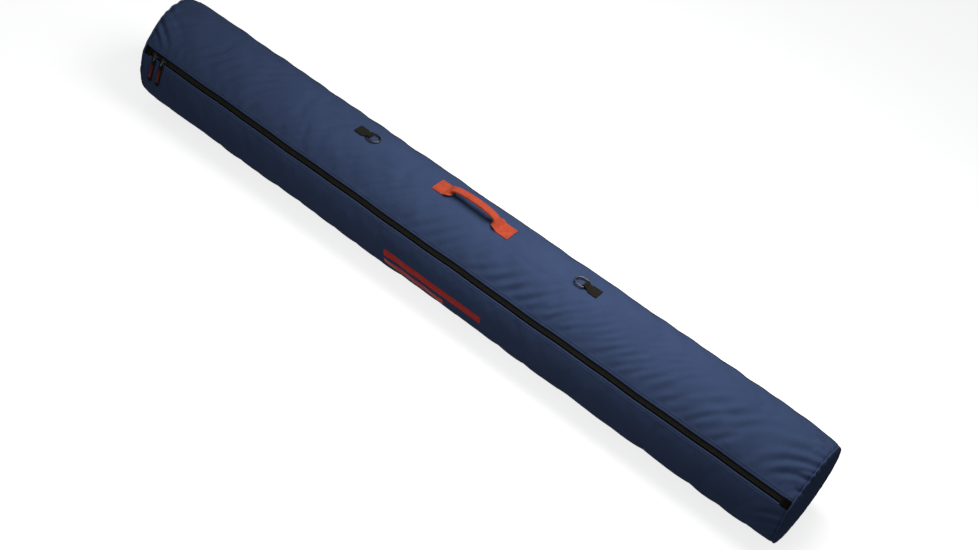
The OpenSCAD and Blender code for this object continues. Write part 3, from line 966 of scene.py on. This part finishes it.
def end_dome(side, far_x):
    """Rings of points from the middle of an end out to its welt: it crowns outwards, with
    gathers at the welt."""
    rng = np.random.default_rng(21 + side)
    rim, angle = end_ring(side, -1.3 * MM)
    centre = np.array([0, 0, AXIS_Z - 1 * MM])
    lean = side * rim[:, X] - SEAM_X
    foot = SEAM_X + 1.7 * MM
    reach = np.concatenate([np.linspace(0.04, 0.86, 22), np.linspace(0.885, 0.985, 9), [0.995, 1.0]])
    gathers = np.zeros_like(angle)
    for turns, size in ((17, 0.5), (29, 0.6), (43, 0.4)):
        gathers += size * np.cos(turns * angle + rng.uniform(0, TURN))
    lumps = np.cos(2 * angle + 1.1) * 0.6 + np.cos(3 * angle + 2.0) * 0.4
    rings = []
    for r in reach:
        ring = centre + (rim - centre) * r
        dome = (far_x - foot) * (1 - r**5) ** 0.6
        folds = 0.55 * gathers * r**5 * (1 - r**14) + 0.8 * lumps * r * (1 - r)
        ring[:, X] = foot + dome + lean * r**2 + MM * folds
        rings.append(ring)
    return np.array(rings)


def end_panel(name, side):
    """The disc that closes an end."""
    node = "end_panel_" + name
    outer = end_dome(side, reach_x(node)[1])
    inner = outer - [2 * MM, 0, 0]
    form = Form()
    edges = []
    for grid, flip in ((outer, True), (inner, False)):
        grid = grid * [side, 1, 1]
        if side < 0:
            grid = grid[:, ::-1]
        index = form.add(grid, grid[..., [Y, Z]])
        form.quads(index, wrap_columns=True, flip=flip)
        form.fan(index[0], flip=not flip)
        edges.append(index[-1])
    form.quads(np.stack(edges), wrap_columns=True, flip=True)
    made = piece(node + "_cloth", form, navy_end_cloth, "bag", [node])


def end_welt(name, side):
    """The corded welt in an end seam, a little wavy where the fabric gathers."""
    node = "end_piping_" + name
    rng = np.random.default_rng(31 + side)
    line, angle = end_ring(side, -1.7 * MM)
    for turns in (11, 19, 37):
        line[:, X] += 0.22 * MM * np.cos(turns * angle + rng.uniform(0, TURN))
    line[:, Z] = np.maximum(line[:, Z], 2.3 * MM)
    form = Form()
    thickness = (high(node, X) - low(node, X)) / 2
    tube(form, line, thickness, sides=12, closed=True, up=(1, 0, 0))
    piece(node + "_cord", form, navy_welt, "bag", [node])


def seam_binding(name, side):
    """The bound seam allowance that stands inwards behind an end seam."""
    node = "seam_binding_" + name
    near, far = reach_x(node)
    section = [(-2.8, 0.25), (-2.8, 0.75), (-6, 0.97), (-11.6, 1), (-12.5, 0.5), (-11.6, 0), (-6, 0.03)]
    rings = []
    for height, share in section:
        ring, angle = end_ring(side, height * MM, near + (far - near) * share)
        ring[:, X] += 0.15 * MM * np.cos(23 * angle)
        rings.append(ring)
    form = Form()
    form.quads(form.add(rings), wrap_rows=True, wrap_columns=True, flip=side < 0)
    piece(node + "_tape", form, binding_cloth, "bag", [node])


def back_seam_angle(x, across):
    """Where the back seam's tape lies: it wanders a little along the bag."""
    return BACK_SEAM_ANGLE + arc(across + 0.8 * MM * np.sin(TURN * x / 0.21))


def back_seam():
    """The black tape over the back seam, with a row of stitches along each edge."""
    columns = even(-PANEL_X + 0.5 * MM, PANEL_X - 0.5 * MM, 5 * MM)[:, None]
    across = np.array([-5, -4.7, -3.4, -1.4, 0, 1.4, 3.4, 4.7, 5]) * MM
    height = np.array([0.25, 0.75, 0.85, 0.95, 0.8, 0.95, 0.85, 0.75, 0.25]) * MM
    angle = back_seam_angle(columns, across)
    roll = 0.5 * end_roll(columns)
    form = sheet(columns, angle, across, height + roll, roll - 0.3 * MM)
    piece("back_seam_tape_cloth", form, seam_cloth, "bag", ["back_seam_tape"])
    rows = Form()
    x = even(-PANEL_X + 4 * MM, PANEL_X - 4 * MM, 5 * MM)
    for side in (-1, 1):
        angle = back_seam_angle(x, side * 3.4 * MM)
        stitches(rows, *skin.at(x, angle, 0.65 * MM), pitch=3.8 * MM)
    piece("back_seam_stitching", rows, black_thread, "bag")


def make_ends():
    for name, side in SIDES.items():
        end_panel(name, side)
        end_welt(name, side)
        seam_binding(name, side)
    back_seam()


# --- Zipper ---


def zip_tape(name, direction):
    """One half of the tape, with a ridge where it covers its coil."""
    node = "zip_tape_" + name
    reach = high(node, X)
    columns = even(-reach, reach, 5 * MM)[:, None]
    section = np.array([
        (0.6, -3.1), (0.8, -2.8), (1.4, -2.62), (2.4, -2.6), (3.2, -2.7), (3.8, -3.0), (4.6, -3.2),
        (5.6, -3.25), (7, -3.2), (9, -2.95), (12, -2.7), (16.4, -2.7), (16.6, -2.9),
    ]) * MM
    across, height = section.T
    angle = ZIP_ANGLE + arc(direction * across + zip_wander(columns))
    form = sheet(columns, angle, direction * across, height, height - 0.5 * MM, flip=direction > 0)
    piece(node + "_cloth", form, zip_cloth, "bag", [node])


def zip_coil(name, direction):
    """The wound nylon coil behind one tape."""
    node = "zip_coil_" + name
    reach = high(node, X) - 2 * MM
    points_per_turn = 8
    turns = int(2 * reach / COIL_PITCH)
    t = np.linspace(0, turns, turns * points_per_turn + 1)
    x = -reach + t * COIL_PITCH
    across = direction * (2.0 * MM + 1.05 * MM * np.cos(TURN * t)) + zip_wander(x)
    height = -4.75 * MM + 0.75 * MM * np.sin(TURN * t)
    line, _ = skin.at(x, ZIP_ANGLE + arc(across), height)
    form = Form()
    tube(form, line, 0.36 * MM, sides=4, up=(1, 0, 0))
    piece(node + "_winding", form, coil_nylon, "bag", [node])


def end_tab(name, side):
    """The folded fabric tab that closes an end of the zipper."""
    node = "zip_end_tab_" + name
    inner_x = reach_x(node)[0]
    lip = np.array([0, 0.25, 0.8, 1.6]) * MM
    columns = np.concatenate([inner_x + lip, even(inner_x + 3 * MM, PANEL_X - 0.3 * MM, 1.5 * MM)])
    thick = np.concatenate([[0.35, 0.95, 1.3, 1.35], np.full(len(columns) - len(lip), 1.2)]) * MM
    half_across = np.array([2.5, 5, 7.6, 9.4, 10.3, 10.5]) * MM
    half_edge = np.array([0.9, 0.95, 1.0, 1.0, 0.75, 0.1])
    across = np.concatenate([-half_across[::-1], [0], half_across])
    edge = np.concatenate([half_edge[::-1], [0.88], half_edge])
    narrow = 0.93 - 0.20 * (1 - np.clip((columns - inner_x) / (4 * MM), 0, 1)) ** 2
    angle = ZIP_ANGLE + arc(across * narrow[:, None])
    x = side * columns[:, None]
    lie = 0.8 * end_roll(x) - 0.5 * MM * bell(across, 0, 4.5 * MM)
    form = sheet(x, angle, across, thick[:, None] * edge + lie, lie - 0.1 * MM, flip=side > 0)
    piece(node + "_cloth", form, seam_cloth, "bag", [node])
    rows = Form()
    angle = ZIP_ANGLE + arc(even(-7.6 * MM, 7.6 * MM, 1.5 * MM))
    for place in (2.4 * MM, 4.6 * MM):
        row = skin.at(side * (inner_x + place), angle, 1.0 * MM)
        stitches(rows, *row, pitch=2.2 * MM, thread=0.28 * MM)
    piece("zip_end_stitching_" + name, rows, black_thread, "bag")


class Seat:
    """A frame for a rigid part: u along the bag, v up round it and w outwards."""

    def __init__(self, origin, angle):
        self.origin = np.array(origin, float)
        self.v = np.array([0, math.sin(angle), math.cos(angle)])
        self.w = np.array([0, -math.cos(angle), math.sin(angle)])

    def __call__(self, u, v, w):
        u, v, w = np.broadcast_arrays(u, v, w)
        along = u[..., None] * np.array([1.0, 0, 0])
        return self.origin + along + v[..., None] * self.v + w[..., None] * self.w


def plate(form, seat, outline, levels):
    """A plate with eased edges: an outline of (u, v) points, and levels of (w, inset)."""
    ahead = np.roll(outline, -1, axis=0) - np.roll(outline, 1, axis=0)
    inward = unit(np.stack([-ahead[:, 1], ahead[:, 0]], axis=1))
    rings = [seat(*(outline + inset * inward).T, w) for w, inset in levels]
    form.loft(rings[::-1])


def rounded(corners, radius, steps=6):
    """An outline through corners given anticlockwise, each rounded by its radius."""
    corners = np.asarray(corners, float)
    outline = []
    for k, corner in enumerate(corners):
        back = unit(corners[k - 1] - corner)
        ahead = unit(corners[(k + 1) % len(corners)] - corner)
        half = math.acos(np.clip(back @ ahead, -1, 1)) / 2
        reach = radius / math.tan(half)
        centre = corner + unit(back + ahead) * radius / math.sin(half)
        start = corner + back * reach - centre
        end = corner + ahead * reach - centre
        a = math.atan2(start[1], start[0])
        turn = (math.atan2(end[1], end[0]) - a + math.pi) % TURN - math.pi
        for t in np.linspace(0, 1, steps):
            outline.append(centre + radius * np.array([math.cos(a + turn * t), math.sin(a + turn * t)]))
    return np.array(outline)


def box_corners(left, right, bottom, top):
    return [(left, bottom), (right, bottom), (right, top), (left, top)]


def bridge_line(reach, foot):
    """A slider's arch as (u, w) points: two feet, two bends and a straight top at w = 0."""
    bend = 1.6 * MM
    corner = np.linspace(0, math.pi / 2, 7)
    half = [(-reach, foot), (-reach, foot / 2 - bend / 2)]
    half += [(-reach + bend * (1 - math.cos(c)), -bend + bend * math.sin(c)) for c in corner]
    return np.array(half + [(-u, w) for u, w in half[::-1]])


def zip_slider(name, nose):
    """A slider: two tapered plates joined through the parting, and an arched bridge. nose is the
    way that its narrow end points along X."""
    node = "zip_slider_" + name
    seat = Seat([middle(node, X), BRIDGE[Y], BRIDGE[Z]], ZIP_ANGLE)
    rise = math.hypot(BRIDGE[Y], BRIDGE[Z] - AXIS_Z) - RADIUS
    length = (high(node, X) - low(node, X)) / 2
    tail, narrow = 5.5 * MM, 3.9 * MM
    corners = [(-length, -tail), (length, -narrow), (length, narrow), (-length, tail)]
    outline = rounded(corners, 1.6 * MM)
    if nose < 0:
        outline = outline[::-1] * [-1, 1]
    form = Form()
    top, bottom = -0.4 * MM - rise, -2.4 * MM - rise
    plate(form, seat, outline, [
        (bottom, 0.5 * MM), (bottom + 0.3 * MM, 0), (top - 0.7 * MM, 0),
        (top - 0.25 * MM, 0.22 * MM), (top, 0.75 * MM), (top + 0.05 * MM, 2.0 * MM),
    ])
    back = -7.6 * MM - rise
    plate(form, seat, outline, [
        (back, 0.5 * MM), (back + 0.3 * MM, 0), (back + 1.3 * MM, 0), (back + 1.5 * MM, 0.3 * MM),
    ])
    wall = rounded(box_corners(-5 * MM, 5 * MM, -0.45 * MM, 0.45 * MM), 0.3 * MM, 3)
    plate(form, seat, wall, [(back + 0.7 * MM, 0), (bottom + 0.3 * MM, 0)])
    bridge = bridge_line(5.2 * MM, -1.2 * MM - rise)
    tube(form, seat(bridge[:, 0], 0, bridge[:, 1]), 1.1 * MM, sides=14, up=tuple(seat.v))
    piece(node + "_body", form, slider_black, "slider_" + name, [node], sharp=35)


def racetrack(length, radius, steps=14):
    """A slot's outline in (v, w): round ends at v = 0 and v = -length."""
    turn = np.linspace(-math.pi / 2, math.pi / 2, steps)
    near = np.stack([radius * np.cos(turn), radius * np.sin(turn)], axis=1)
    far = np.stack([-length - radius * np.cos(turn), -radius * np.sin(turn)], axis=1)
    return np.concatenate([near, far])


def pull_link(name):
    """The oblong link between the bridge and the pull, with eased edges."""
    node = "pull_link_" + name
    seat = Seat(JOINTS[f"link_{name}_lift"]["pos_m"], ZIP_ANGLE)
    width = (high(node, X) - low(node, X)) / 2
    pin = np.array(JOINTS[f"pull_{name}_swing"]["pos_m"])
    length = np.linalg.norm(seat.origin - pin)
    inner = 1.25 * MM
    outer = inner + 1.3 * MM
    ease = 0.3 * MM
    section = [
        (inner, -width + ease), (inner, width - ease), (inner + ease, width), (outer - ease, width),
        (outer, width - ease), (outer, -width + ease), (outer - ease, -width), (inner + ease, -width),
    ]
    rings = []
    for radius, u in section:
        track = racetrack(length, radius)
        rings.append(seat(u, track[:, 0], track[:, 1]))
    form = Form()
    form.quads(form.add(rings), wrap_rows=True, wrap_columns=True, flip=True)
    piece(node + "_loop", form, link_black, "link_" + name, [node], sharp=40)


def pull_seat(name):
    """The frame of a pull: its pin at the origin, its body along -v, leaning in to touch the bag."""
    pin = np.array(JOINTS[f"pull_{name}_swing"]["pos_m"])
    distance = math.hypot(pin[Y], pin[Z] - AXIS_Z)
    angle = math.atan2(pin[Z] - AXIS_Z, -pin[Y])
    lean = math.acos(min(1, (RADIUS + 1.45 * MM) / distance))
    return Seat(pin, angle - lean)


PULL_LENGTH = 54 * MM
PULL_HALF_THICK = 1.3 * MM


def pull_body(form, seat, half):
    """The pull's flat body, with a round tip."""
    thick = PULL_HALF_THICK
    fork = -3.6 * MM
    tip = np.linspace(math.pi, TURN, 18)
    outline = [(half * math.cos(t), half - PULL_LENGTH + half * math.sin(t)) for t in tip]
    outline = np.array(outline + [(half - 0.1 * MM, fork), (-half + 0.1 * MM, fork)])
    plate(form, seat, outline, [
        (-thick, 0.6 * MM), (-thick + 0.25 * MM, 0.15 * MM), (-thick + 0.6 * MM, 0),
        (thick - 0.6 * MM, 0), (thick - 0.25 * MM, 0.15 * MM), (thick, 0.6 * MM),
    ])


def pull_fork(form, seat, half):
    """Two arms with round ends, and the pin between them that the link turns on."""
    arm_in = 1.9 * MM
    arm_foot = -4.6 * MM
    thick = PULL_HALF_THICK
    turn = np.linspace(0, math.pi, 9)
    arm = np.concatenate([
        np.stack([thick * np.sin(turn), thick * np.cos(turn)], axis=1),
        [(arm_foot, -thick), (arm_foot, thick)],
    ])
    for side in (-1, 1):
        rings = []
        for u, size in ((arm_in, 0.88), (arm_in + 0.25 * MM, 1), (half - 0.35 * MM, 1), (half, 0.85)):
            rings.append(seat(side * u, arm[:, 0] * size, arm[:, 1] * size))
        form.loft(rings if side < 0 else rings[::-1])
    pin = seat(np.linspace(-arm_in - 0.3 * MM, arm_in + 0.3 * MM, 4), 0, 0)
    tube(form, pin, 1.0 * MM, sides=12, up=tuple(seat.w))


def pull_ribs(form, seat, half):
    """Three grip ribs near the tip, each a little shorter than the last."""
    size = 0.5 * MM * np.array([0.5, 1, 1, 1, 0.5])
    for k in range(3):
        across = np.linspace(-1, 1, 5) * (half - 1.3 * MM - 0.25 * MM * k)
        rib = seat(across, -46.2 * MM - k * 1.7 * MM, PULL_HALF_THICK - 0.05 * MM)
        tube(form, rib, size, sides=8, up=tuple(seat.w), flat=0.8)


def pull_tab(name):
    """The moulded pull."""
    node = "pull_tab_" + name
    seat = pull_seat(name)
    half = (high(node, X) - low(node, X)) / 2
    form = Form()
    for part in (pull_body, pull_fork, pull_ribs):
        part(form, seat, half)
    piece(node + "_moulding", form, pull_black, "pull_" + name, [node], sharp=40)


def pull_inlay(name):
    """The red insert in a pull, with a raised rim and cross ridges."""
    node = "pull_inlay_" + name
    seat = pull_seat(name)
    top = PULL_HALF_THICK
    near, far, half = -12.5 * MM, -43.5 * MM, 3.3 * MM
    outline = rounded(box_corners(-half, half, far, near), 0.8 * MM, 4)
    form = Form()
    levels = [(top - 0.55 * MM, 0), (top - 0.02 * MM, 0), (top + 0.12 * MM, 0.18 * MM)]
    plate(form, seat, outline, levels)
    across = np.linspace(-2.4, 2.4, 4) * MM
    size = 0.42 * MM * np.array([0.6, 1, 1, 0.6])
    for k in range(11):
        ridge = seat(across, near - (3.0 + 2.5 * k) * MM, top + 0.06 * MM)
        tube(form, ridge, size, sides=6, up=tuple(seat.w), flat=0.6)
    piece(node + "_insert", form, pull_red, "pull_" + name, [node], sharp=40)


def make_zipper():
    for name, direction in (("upper", 1), ("lower", -1)):
        zip_tape(name, direction)
        zip_coil(name, direction)
    for name, side in SIDES.items():
        end_tab(name, side)
        zip_slider(name, nose=-side)
        pull_link(name)
        pull_tab(name)
        pull_inlay(name)


# --- Webbing, rings and handle on the top ---


class Ribbon:
    """Webbing along a path in the XZ plane over the top of the bag. across[i] is the middle of its
    section at each station, as (y, rise) points. hug is 1 where it lies on the curved bag."""

    def __init__(self, path, across, thickness, hug):
        self.path = path
        self.across = across
        self.thickness = thickness
        self.hug = hug
        ahead = unit(np.gradient(path, axis=0))
        self.up = np.stack([-ahead[:, 1], ahead[:, 0]], axis=1)
        self.along = running_length(path)

    def place(self, station, y, rise):
        x = self.path[station, 0] + rise * self.up[station, 0]
        z = self.path[station, 1] + rise * self.up[station, 1]
        x, y, z = np.broadcast_arrays(x, y, z)
        drop = skin.top(x, np.clip(y, -30 * MM, 30 * MM)) - skin.top(x, 0 * y)
        return np.stack([x, y, z + self.hug[station] * drop], axis=-1)

    def rings(self):
        """The closed section at each station: over the outer face and back under the inner one."""
        step = unit(np.gradient(self.across, axis=1))
        out = np.stack([-step[..., 1], step[..., 0]], axis=-1)
        half = self.thickness / 2
        outer = self.across + half * out
        inner = self.across - half * out
        round_edge = 0.5 * half
        first = self.across[:, :1] - round_edge * step[:, :1]
        last = self.across[:, -1:] + round_edge * step[:, -1:]
        loop = np.concatenate([first, outer, last, inner[:, ::-1]], axis=1)
        station = np.arange(len(self.path))[:, None]
        place = self.place(station, loop[..., 0], loop[..., 1])
        place[..., Z] = np.maximum(place[..., Z], skin.top(place[..., X], place[..., Y]))
        return place

    def uv(self):
        """Along the webbing, and across it measured over its own width."""
        width = np.array([running_length(section) for section in self.across])
        width -= width[:, -1:] / 2
        loop = np.concatenate([width[:, :1], width, width[:, -1:], width[:, ::-1]], axis=1)
        return np.stack(np.broadcast_arrays(self.along[:, None], loop), axis=-1)

    def row(self, x, y, lift):
        """Points and normals over the outer face, for stitches along x at y."""
        x, y = np.broadcast_arrays(x, y)
        sense = np.sign(self.path[-1, 0] - self.path[0, 0])
        stations = np.arange(len(self.path))
        station = np.interp(x * sense, self.path[:, 0] * sense, stations)
        near = np.floor(station).astype(int)
        after = np.minimum(near + 1, stations[-1])
        share = (station - near)[:, None]
        rise = self.thickness / 2 + lift
        place = self.place(near, y, rise) * (1 - share) + self.place(after, y, rise) * share
        up = self.up[near] * (1 - share) + self.up[after] * share
        normal = np.stack([up[:, 0], 0 * y, up[:, 1]], axis=1)
        normal[:, Y] += self.hug[near] * y / RADIUS
        return place, unit(normal)


def box_stitches(form, ribbon, from_x, to_x, half_y, lift=0.0, thread=0.34 * MM):
    """A sewn box with a cross inside it."""
    x = even(from_x, to_x, 2 * MM)
    y = even(-half_y, half_y, 2 * MM)
    lines = [(x, -half_y), (x, half_y), (from_x, y), (to_x, y)]
    lines += [(x, slope * half_y * np.linspace(-1, 1, len(x))) for slope in (-1, 1)]
    for line_x, line_y in lines:
        stitches(form, *ribbon.row(line_x, line_y, lift), 2.6 * MM, thread)


def tab_path(bar_z, lower, upper, reach):
    """A ring tab's line as (distance from the bar, height) points: in under the tab, round the
    bar, down a ramp and back over the lower ply. Also counts the points up to each change."""
    bend = bar_z - lower
    top = bar_z + bend
    fall = 9 * MM
    lay = [(d, lower) for d in even(reach, 2 * MM, 2 * MM)]
    loop = [(-bend * math.sin(t), bar_z - bend * math.cos(t)) for t in np.linspace(0, math.pi, 15)]
    ramp = [(fall * t, top + (upper - top) * smoothstep(t)) for t in np.linspace(0.12, 1, 9)]
    back = [(d, upper) for d in even(fall + 2 * MM, reach, 2 * MM)]
    counts = np.cumsum([len(lay) + len(loop), len(ramp)])
    return np.array(lay + loop + ramp + back), counts


def tab_section(distance, side):
    """The tab's flat sections: bunched in the ring, 25 mm wide behind it, with frayed edges."""
    half = (8.7 + 3.7 * smoothstep((np.abs(distance) - 8 * MM) / (7 * MM))) * MM
    y = np.linspace(-1, 1, 11)
    across = np.stack([y, 0 * y], axis=1) * half[:, None, None]
    fray = np.random.default_rng(51 + side).uniform(-0.25, 0.25, (len(distance), 2)) * MM
    across[:, [0, -1], 0] += fray
    return across[:, ::-1] if side > 0 else across


def ring_tab(name, side):
    """Webbing folded round the ring's bar, with both plies sewn to the bag behind it."""
    node = "d_ring_loop_" + name
    bar = JOINTS[f"ring_{name}_lift"]["pos_m"]
    end_x = side * reach_x(node)[1]
    reach = abs(end_x - bar[X])
    thick = 1.25 * MM
    lower = skin.top(np.array([bar[X] + side * reach / 2]), np.zeros(1))[0] + 0.05 * MM + thick / 2
    path, (over, flat) = tab_path(bar[Z], lower, lower + thick + 0.1 * MM, reach)
    away = np.clip(path[:, 0] / (9 * MM), 0, 1)
    wave = 0.35 * MM * np.sin(path[:, 0] / (5.2 * MM)) * away
    path[over:, 1] += wave[over:] + 0.2 * MM
    across = tab_section(path[:, 0], side)
    path[:, 0] = bar[X] + side * path[:, 0]
    ribbon = Ribbon(path, across, thick, smoothstep(away))
    form = Form()
    form.loft(ribbon.rings(), uv=ribbon.uv())
    piece(node + "_webbing", form, black_webbing, "bag", [node])
    cover = Ribbon(path[flat:], across[flat:], thick, np.ones(len(path) - flat))
    cover.up = np.abs(cover.up)
    near_x, far_x = sorted((bar[X] + side * 15.5 * MM, end_x - side * 3 * MM))
    rows = Form()
    box_stitches(rows, cover, near_x, far_x, 9.6 * MM, lift=0.05 * MM)
    piece(node + "_stitching", rows, black_thread, "bag")


def d_ring(name, side):
    """Round wire bent to a D: a straight bar, two short sides and a round bow."""
    node = "d_ring_" + name
    bar = np.array(JOINTS[f"ring_{name}_lift"]["pos_m"])
    wire = 1.95 * MM
    half = high(node, Y) - 2.0 * MM
    straight = 12 * MM
    bend = 2.6 * MM
    corner = np.linspace(0, math.pi / 2, 7)
    outline = [(0, y) for y in np.linspace(-half + bend, half - bend, 14)]
    outline += [(bend * (1 - math.cos(c)), half - bend + bend * math.sin(c)) for c in corner[1:]]
    bow = np.linspace(0, math.pi, 40)
    outline += [(straight + half * math.sin(t), half * math.cos(t)) for t in bow]
    outline += [(bend * (1 - math.sin(c)), -half + bend - bend * math.cos(c)) for c in corner[:-1]]
    path = [bar + (-side * away, y, 0) for away, y in outline]
    form = Form()
    tube(form, path, wire, sides=16, closed=True)
    piece(node + "_wire", form, gunmetal, "ring_" + name, [node])


# One half of the handle's line, in millimetres: how far from the handle's middle and how high
# over the top of the bag
HANDLE_PROFILE = [
    (98, 0.9), (90, 0.9), (82, 0.9), (74, 0.9), (69.5, 1.1), (66, 2.4), (62.8, 5.4), (60, 8.8),
    (56.5, 12.4), (51.5, 15.8), (45, 18.3), (36, 20.4), (24, 22.0), (12, 22.9), (0, 23.2),
]
FLAP = 13.2 * MM


def folded_section(fold, count=13):
    """Webbing whose two edges roll under by an angle until they meet below its middle."""
    tight = 2.4 * MM
    bend = tight + (FLAP / fold - tight) * (1 - smoothstep(fold / math.pi))
    ply = np.linspace(0, FLAP, count)
    turned = np.minimum(ply / bend, fold)
    beyond = ply - turned * bend
    y = WEB_HALF - FLAP + bend * np.sin(turned) + beyond * np.cos(fold)
    rise = -bend * (1 - np.cos(turned)) - beyond * np.sin(fold)
    flat = np.linspace(-(WEB_HALF - FLAP), WEB_HALF - FLAP, 9)[1:-1]
    left = np.stack([-y[::-1], rise[::-1]], axis=1)
    valley = -0.5 * MM * bell(flat, 0, 1.7 * MM) * fold / math.pi
    centre = np.stack([flat, valley], axis=1)
    return np.concatenate([left, centre, np.stack([y, rise], axis=1)])


def handle_ribbon():
    """The handle's webbing: flat at its sewn ends, folded into a grip between them."""
    half = np.array(HANDLE_PROFILE) * MM
    line = np.concatenate([half * [-1, 1], half[-2::-1]])
    path = spline(line, 151)
    # The left shoulder of the grip reaches a little further out than the right one
    out = -path[:, 0]
    path[:, 0] -= 5 * MM * smoothstep(out / (45 * MM)) * (1 - smoothstep((out - 66 * MM) / (22 * MM)))
    height = path[:, 1] - 0.9 * MM
    fold = math.pi * 0.985 * smoothstep((height - 1.5 * MM) / (18 * MM))
    across = np.array([folded_section(max(f, 0.02)) for f in fold])
    hug = 1 - smoothstep(height / (9 * MM))
    path = path + [HANDLE_X, TOP_Z + 0.05 * MM]
    return Ribbon(path, across, 1.55 * MM, hug)


def blend_to_grip(made):
    """Bakes the piece's placement into its mesh."""
    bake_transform(made)


def handle_half(name, side, rings, uv):
    """The webbing from one sewn end to the handle's middle, where it meets the other half."""
    centre = len(rings) // 2
    part = slice(0, centre + 1) if side < 0 else slice(centre, len(rings))
    form = Form()
    index = form.add(rings[part], uv[part])
    form.quads(index, wrap_columns=True)
    cap = index[0] if side < 0 else index[-1][::-1]
    form.faces.append(cap.tolist())
    stands_for = ["handle_end_" + name] + (["handle_grip"] if side < 0 else [])
    made = piece(
        "handle_webbing_" + name, form, orange_webbing, None, stands_for, sharp=180
    )
    made.data.normals_split_custom_set_from_vertices(tube_normals(rings)[part].reshape(-1, 3))
    blend_to_grip(made)


def handle_stitching(name, side, ribbon):
    """The box sewn through a handle end, and two rows along the grip."""
    thread = 0.45 * MM
    rows = Form()
    near, far = sorted((HANDLE_X + side * 75 * MM, HANDLE_X + side * 94.5 * MM))
    box_stitches(rows, ribbon, near, far, 15.5 * MM, thread=thread)
    x = even(HANDLE_X + side * 58 * MM, HANDLE_X + side * 0.5 * MM, 3 * MM)
    for y in (-4.2 * MM, 4.2 * MM):
        stitches(rows, *ribbon.row(x, y, 0.1 * MM), 3.2 * MM, thread)
    made = piece("handle_stitching_" + name, rows, orange_thread, None)
    blend_to_grip(made)


def make_handle():
    ribbon = handle_ribbon()
    rings, uv = ribbon.rings(), ribbon.uv()
    for name, side in SIDES.items():
        handle_half(name, side, rings, uv)
    for name, side in SIDES.items():
        handle_stitching(name, side, ribbon)


def backing(node):
    """A reinforcing patch inside the upper panel, under a sewn fitting."""
    columns = even(low(node, X), high(node, X), 6 * MM)[:, None]
    half = (high(node, Y) - low(node, Y)) / 2
    across = np.linspace(-half, half, 13)
    angle = math.pi / 2 + arc(across)
    form = sheet(columns, angle, across, -FABRIC - 0.1 * MM, -FABRIC - 1.2 * MM)
    piece(node + "_cloth", form, backing_cloth, "bag", [node])


def front_print():
    """Two plain bars printed on the lower panel."""
    start = low("front_print", X)
    length = high("front_print", X) - start
    height, step = 18 * MM, 30 * MM
    centre = math.radians(-17.5)
    across = np.linspace(-height / 2, height / 2, 9)
    form = Form()
    for offset, share in ((step / 2, 1), (-step / 2, 0.62)):
        columns = even(start, start + share * length, 3 * MM)[:, None]
        angle = centre + arc(offset) + arc(across)
        sheet(columns, angle, across, 0.25 * MM, -0.4 * MM, form=form)
    piece("front_print_ink", form, red_ink, "bag", ["front_print"])


def make_fittings():
    for name, side in SIDES.items():
        ring_tab(name, side)
        d_ring(name, side)
        backing("ring_backing_" + name)
    make_handle()
    backing("handle_backing")
    front_print()


# --- Camera, floor and light ---


def set_camera():
    """The camera looks down at 45 degrees from the front right, rolled so that the bag runs
    down to the right across the picture."""
    scale = RADIUS / 0.115
    centre = Vector((0, 0, AXIS_Z))
    dip = math.radians(45)
    place = centre + scale * Vector((1.1323, -3.1188 * math.cos(dip), 3.1188 * math.sin(dip)))
    target = centre + scale * Vector((0.0647, -0.0102 * math.sin(dip), -0.0102 * math.cos(dip)))
    back = (place - target).normalized()
    right = Vector((0, math.sin(dip), math.cos(dip))).cross(back).normalized()
    up = back.cross(right)
    roll = 0.6143
    across = math.cos(roll) * right + math.sin(roll) * up
    upright = math.cos(roll) * up - math.sin(roll) * right
    data = bpy.data.cameras.new("camera")
    data.lens = 59.71
    data.sensor_width = 36
    data.clip_end = 50
    camera = bpy.data.objects.new("camera", data)
    rotation = Matrix((across, upright, back)).transposed()
    camera.matrix_world = Matrix.Translation(place) @ rotation.to_4x4()
    bpy.context.scene.collection.objects.link(camera)
    bpy.context.scene.camera = camera


def area_light(name, place, target, size, power):
    """A rectangular light that shines from a place towards a target."""
    data = bpy.data.lights.new(name, "AREA")
    data.shape = "RECTANGLE"
    data.size, data.size_y = size
    data.energy = power
    light = bpy.data.objects.new(name, data)
    light.location = place
    direction = Vector(target) - Vector(place)
    light.rotation_euler = direction.to_track_quat("-Z", "Y").to_euler()
    bpy.context.scene.collection.objects.link(light)


def make_stage():
    """A pale floor that glows a little, soft light from all round and two lights from above."""
    half = 14
    mesh = bpy.data.meshes.new("floor")
    corners = [(-half, -half, 0), (half, -half, 0), (half, half, 0), (-half, half, 0)]
    mesh.from_pydata(corners, [], [(0, 1, 2, 3)])
    paint = Paint("floor", Base_Color=(0.5, 0.5, 0.5), Roughness=0.9, Specular_IOR_Level=0.0)
    paint.set(Emission_Color=(1, 1, 1), Emission_Strength=0.78)
    mesh.materials.append(paint.material)
    floor = bpy.data.objects.new("floor", mesh)
    bpy.context.scene.collection.objects.link(floor)
    floor.visible_diffuse = False

    world = bpy.data.worlds.new("world")
    world.use_nodes = True
    background = world.node_tree.nodes["Background"].inputs
    background["Color"].default_value = (0.95, 0.97, 1.0, 1)
    background["Strength"].default_value = 0.19
    bpy.context.scene.world = world
    area_light("key", (0.27, 0.16, 1.25), (0.22, 0.0, 0.1), (1.0, 0.85), 17.5)
    area_light("fill", (0.02, -0.95, 0.62), (0.02, 0.0, 0.1), (0.8, 0.6), 1.85)
    bpy.context.scene.view_settings.view_transform = "Standard"


make_body()
make_ends()
make_zipper()
make_fittings()
set_camera()
make_stage()
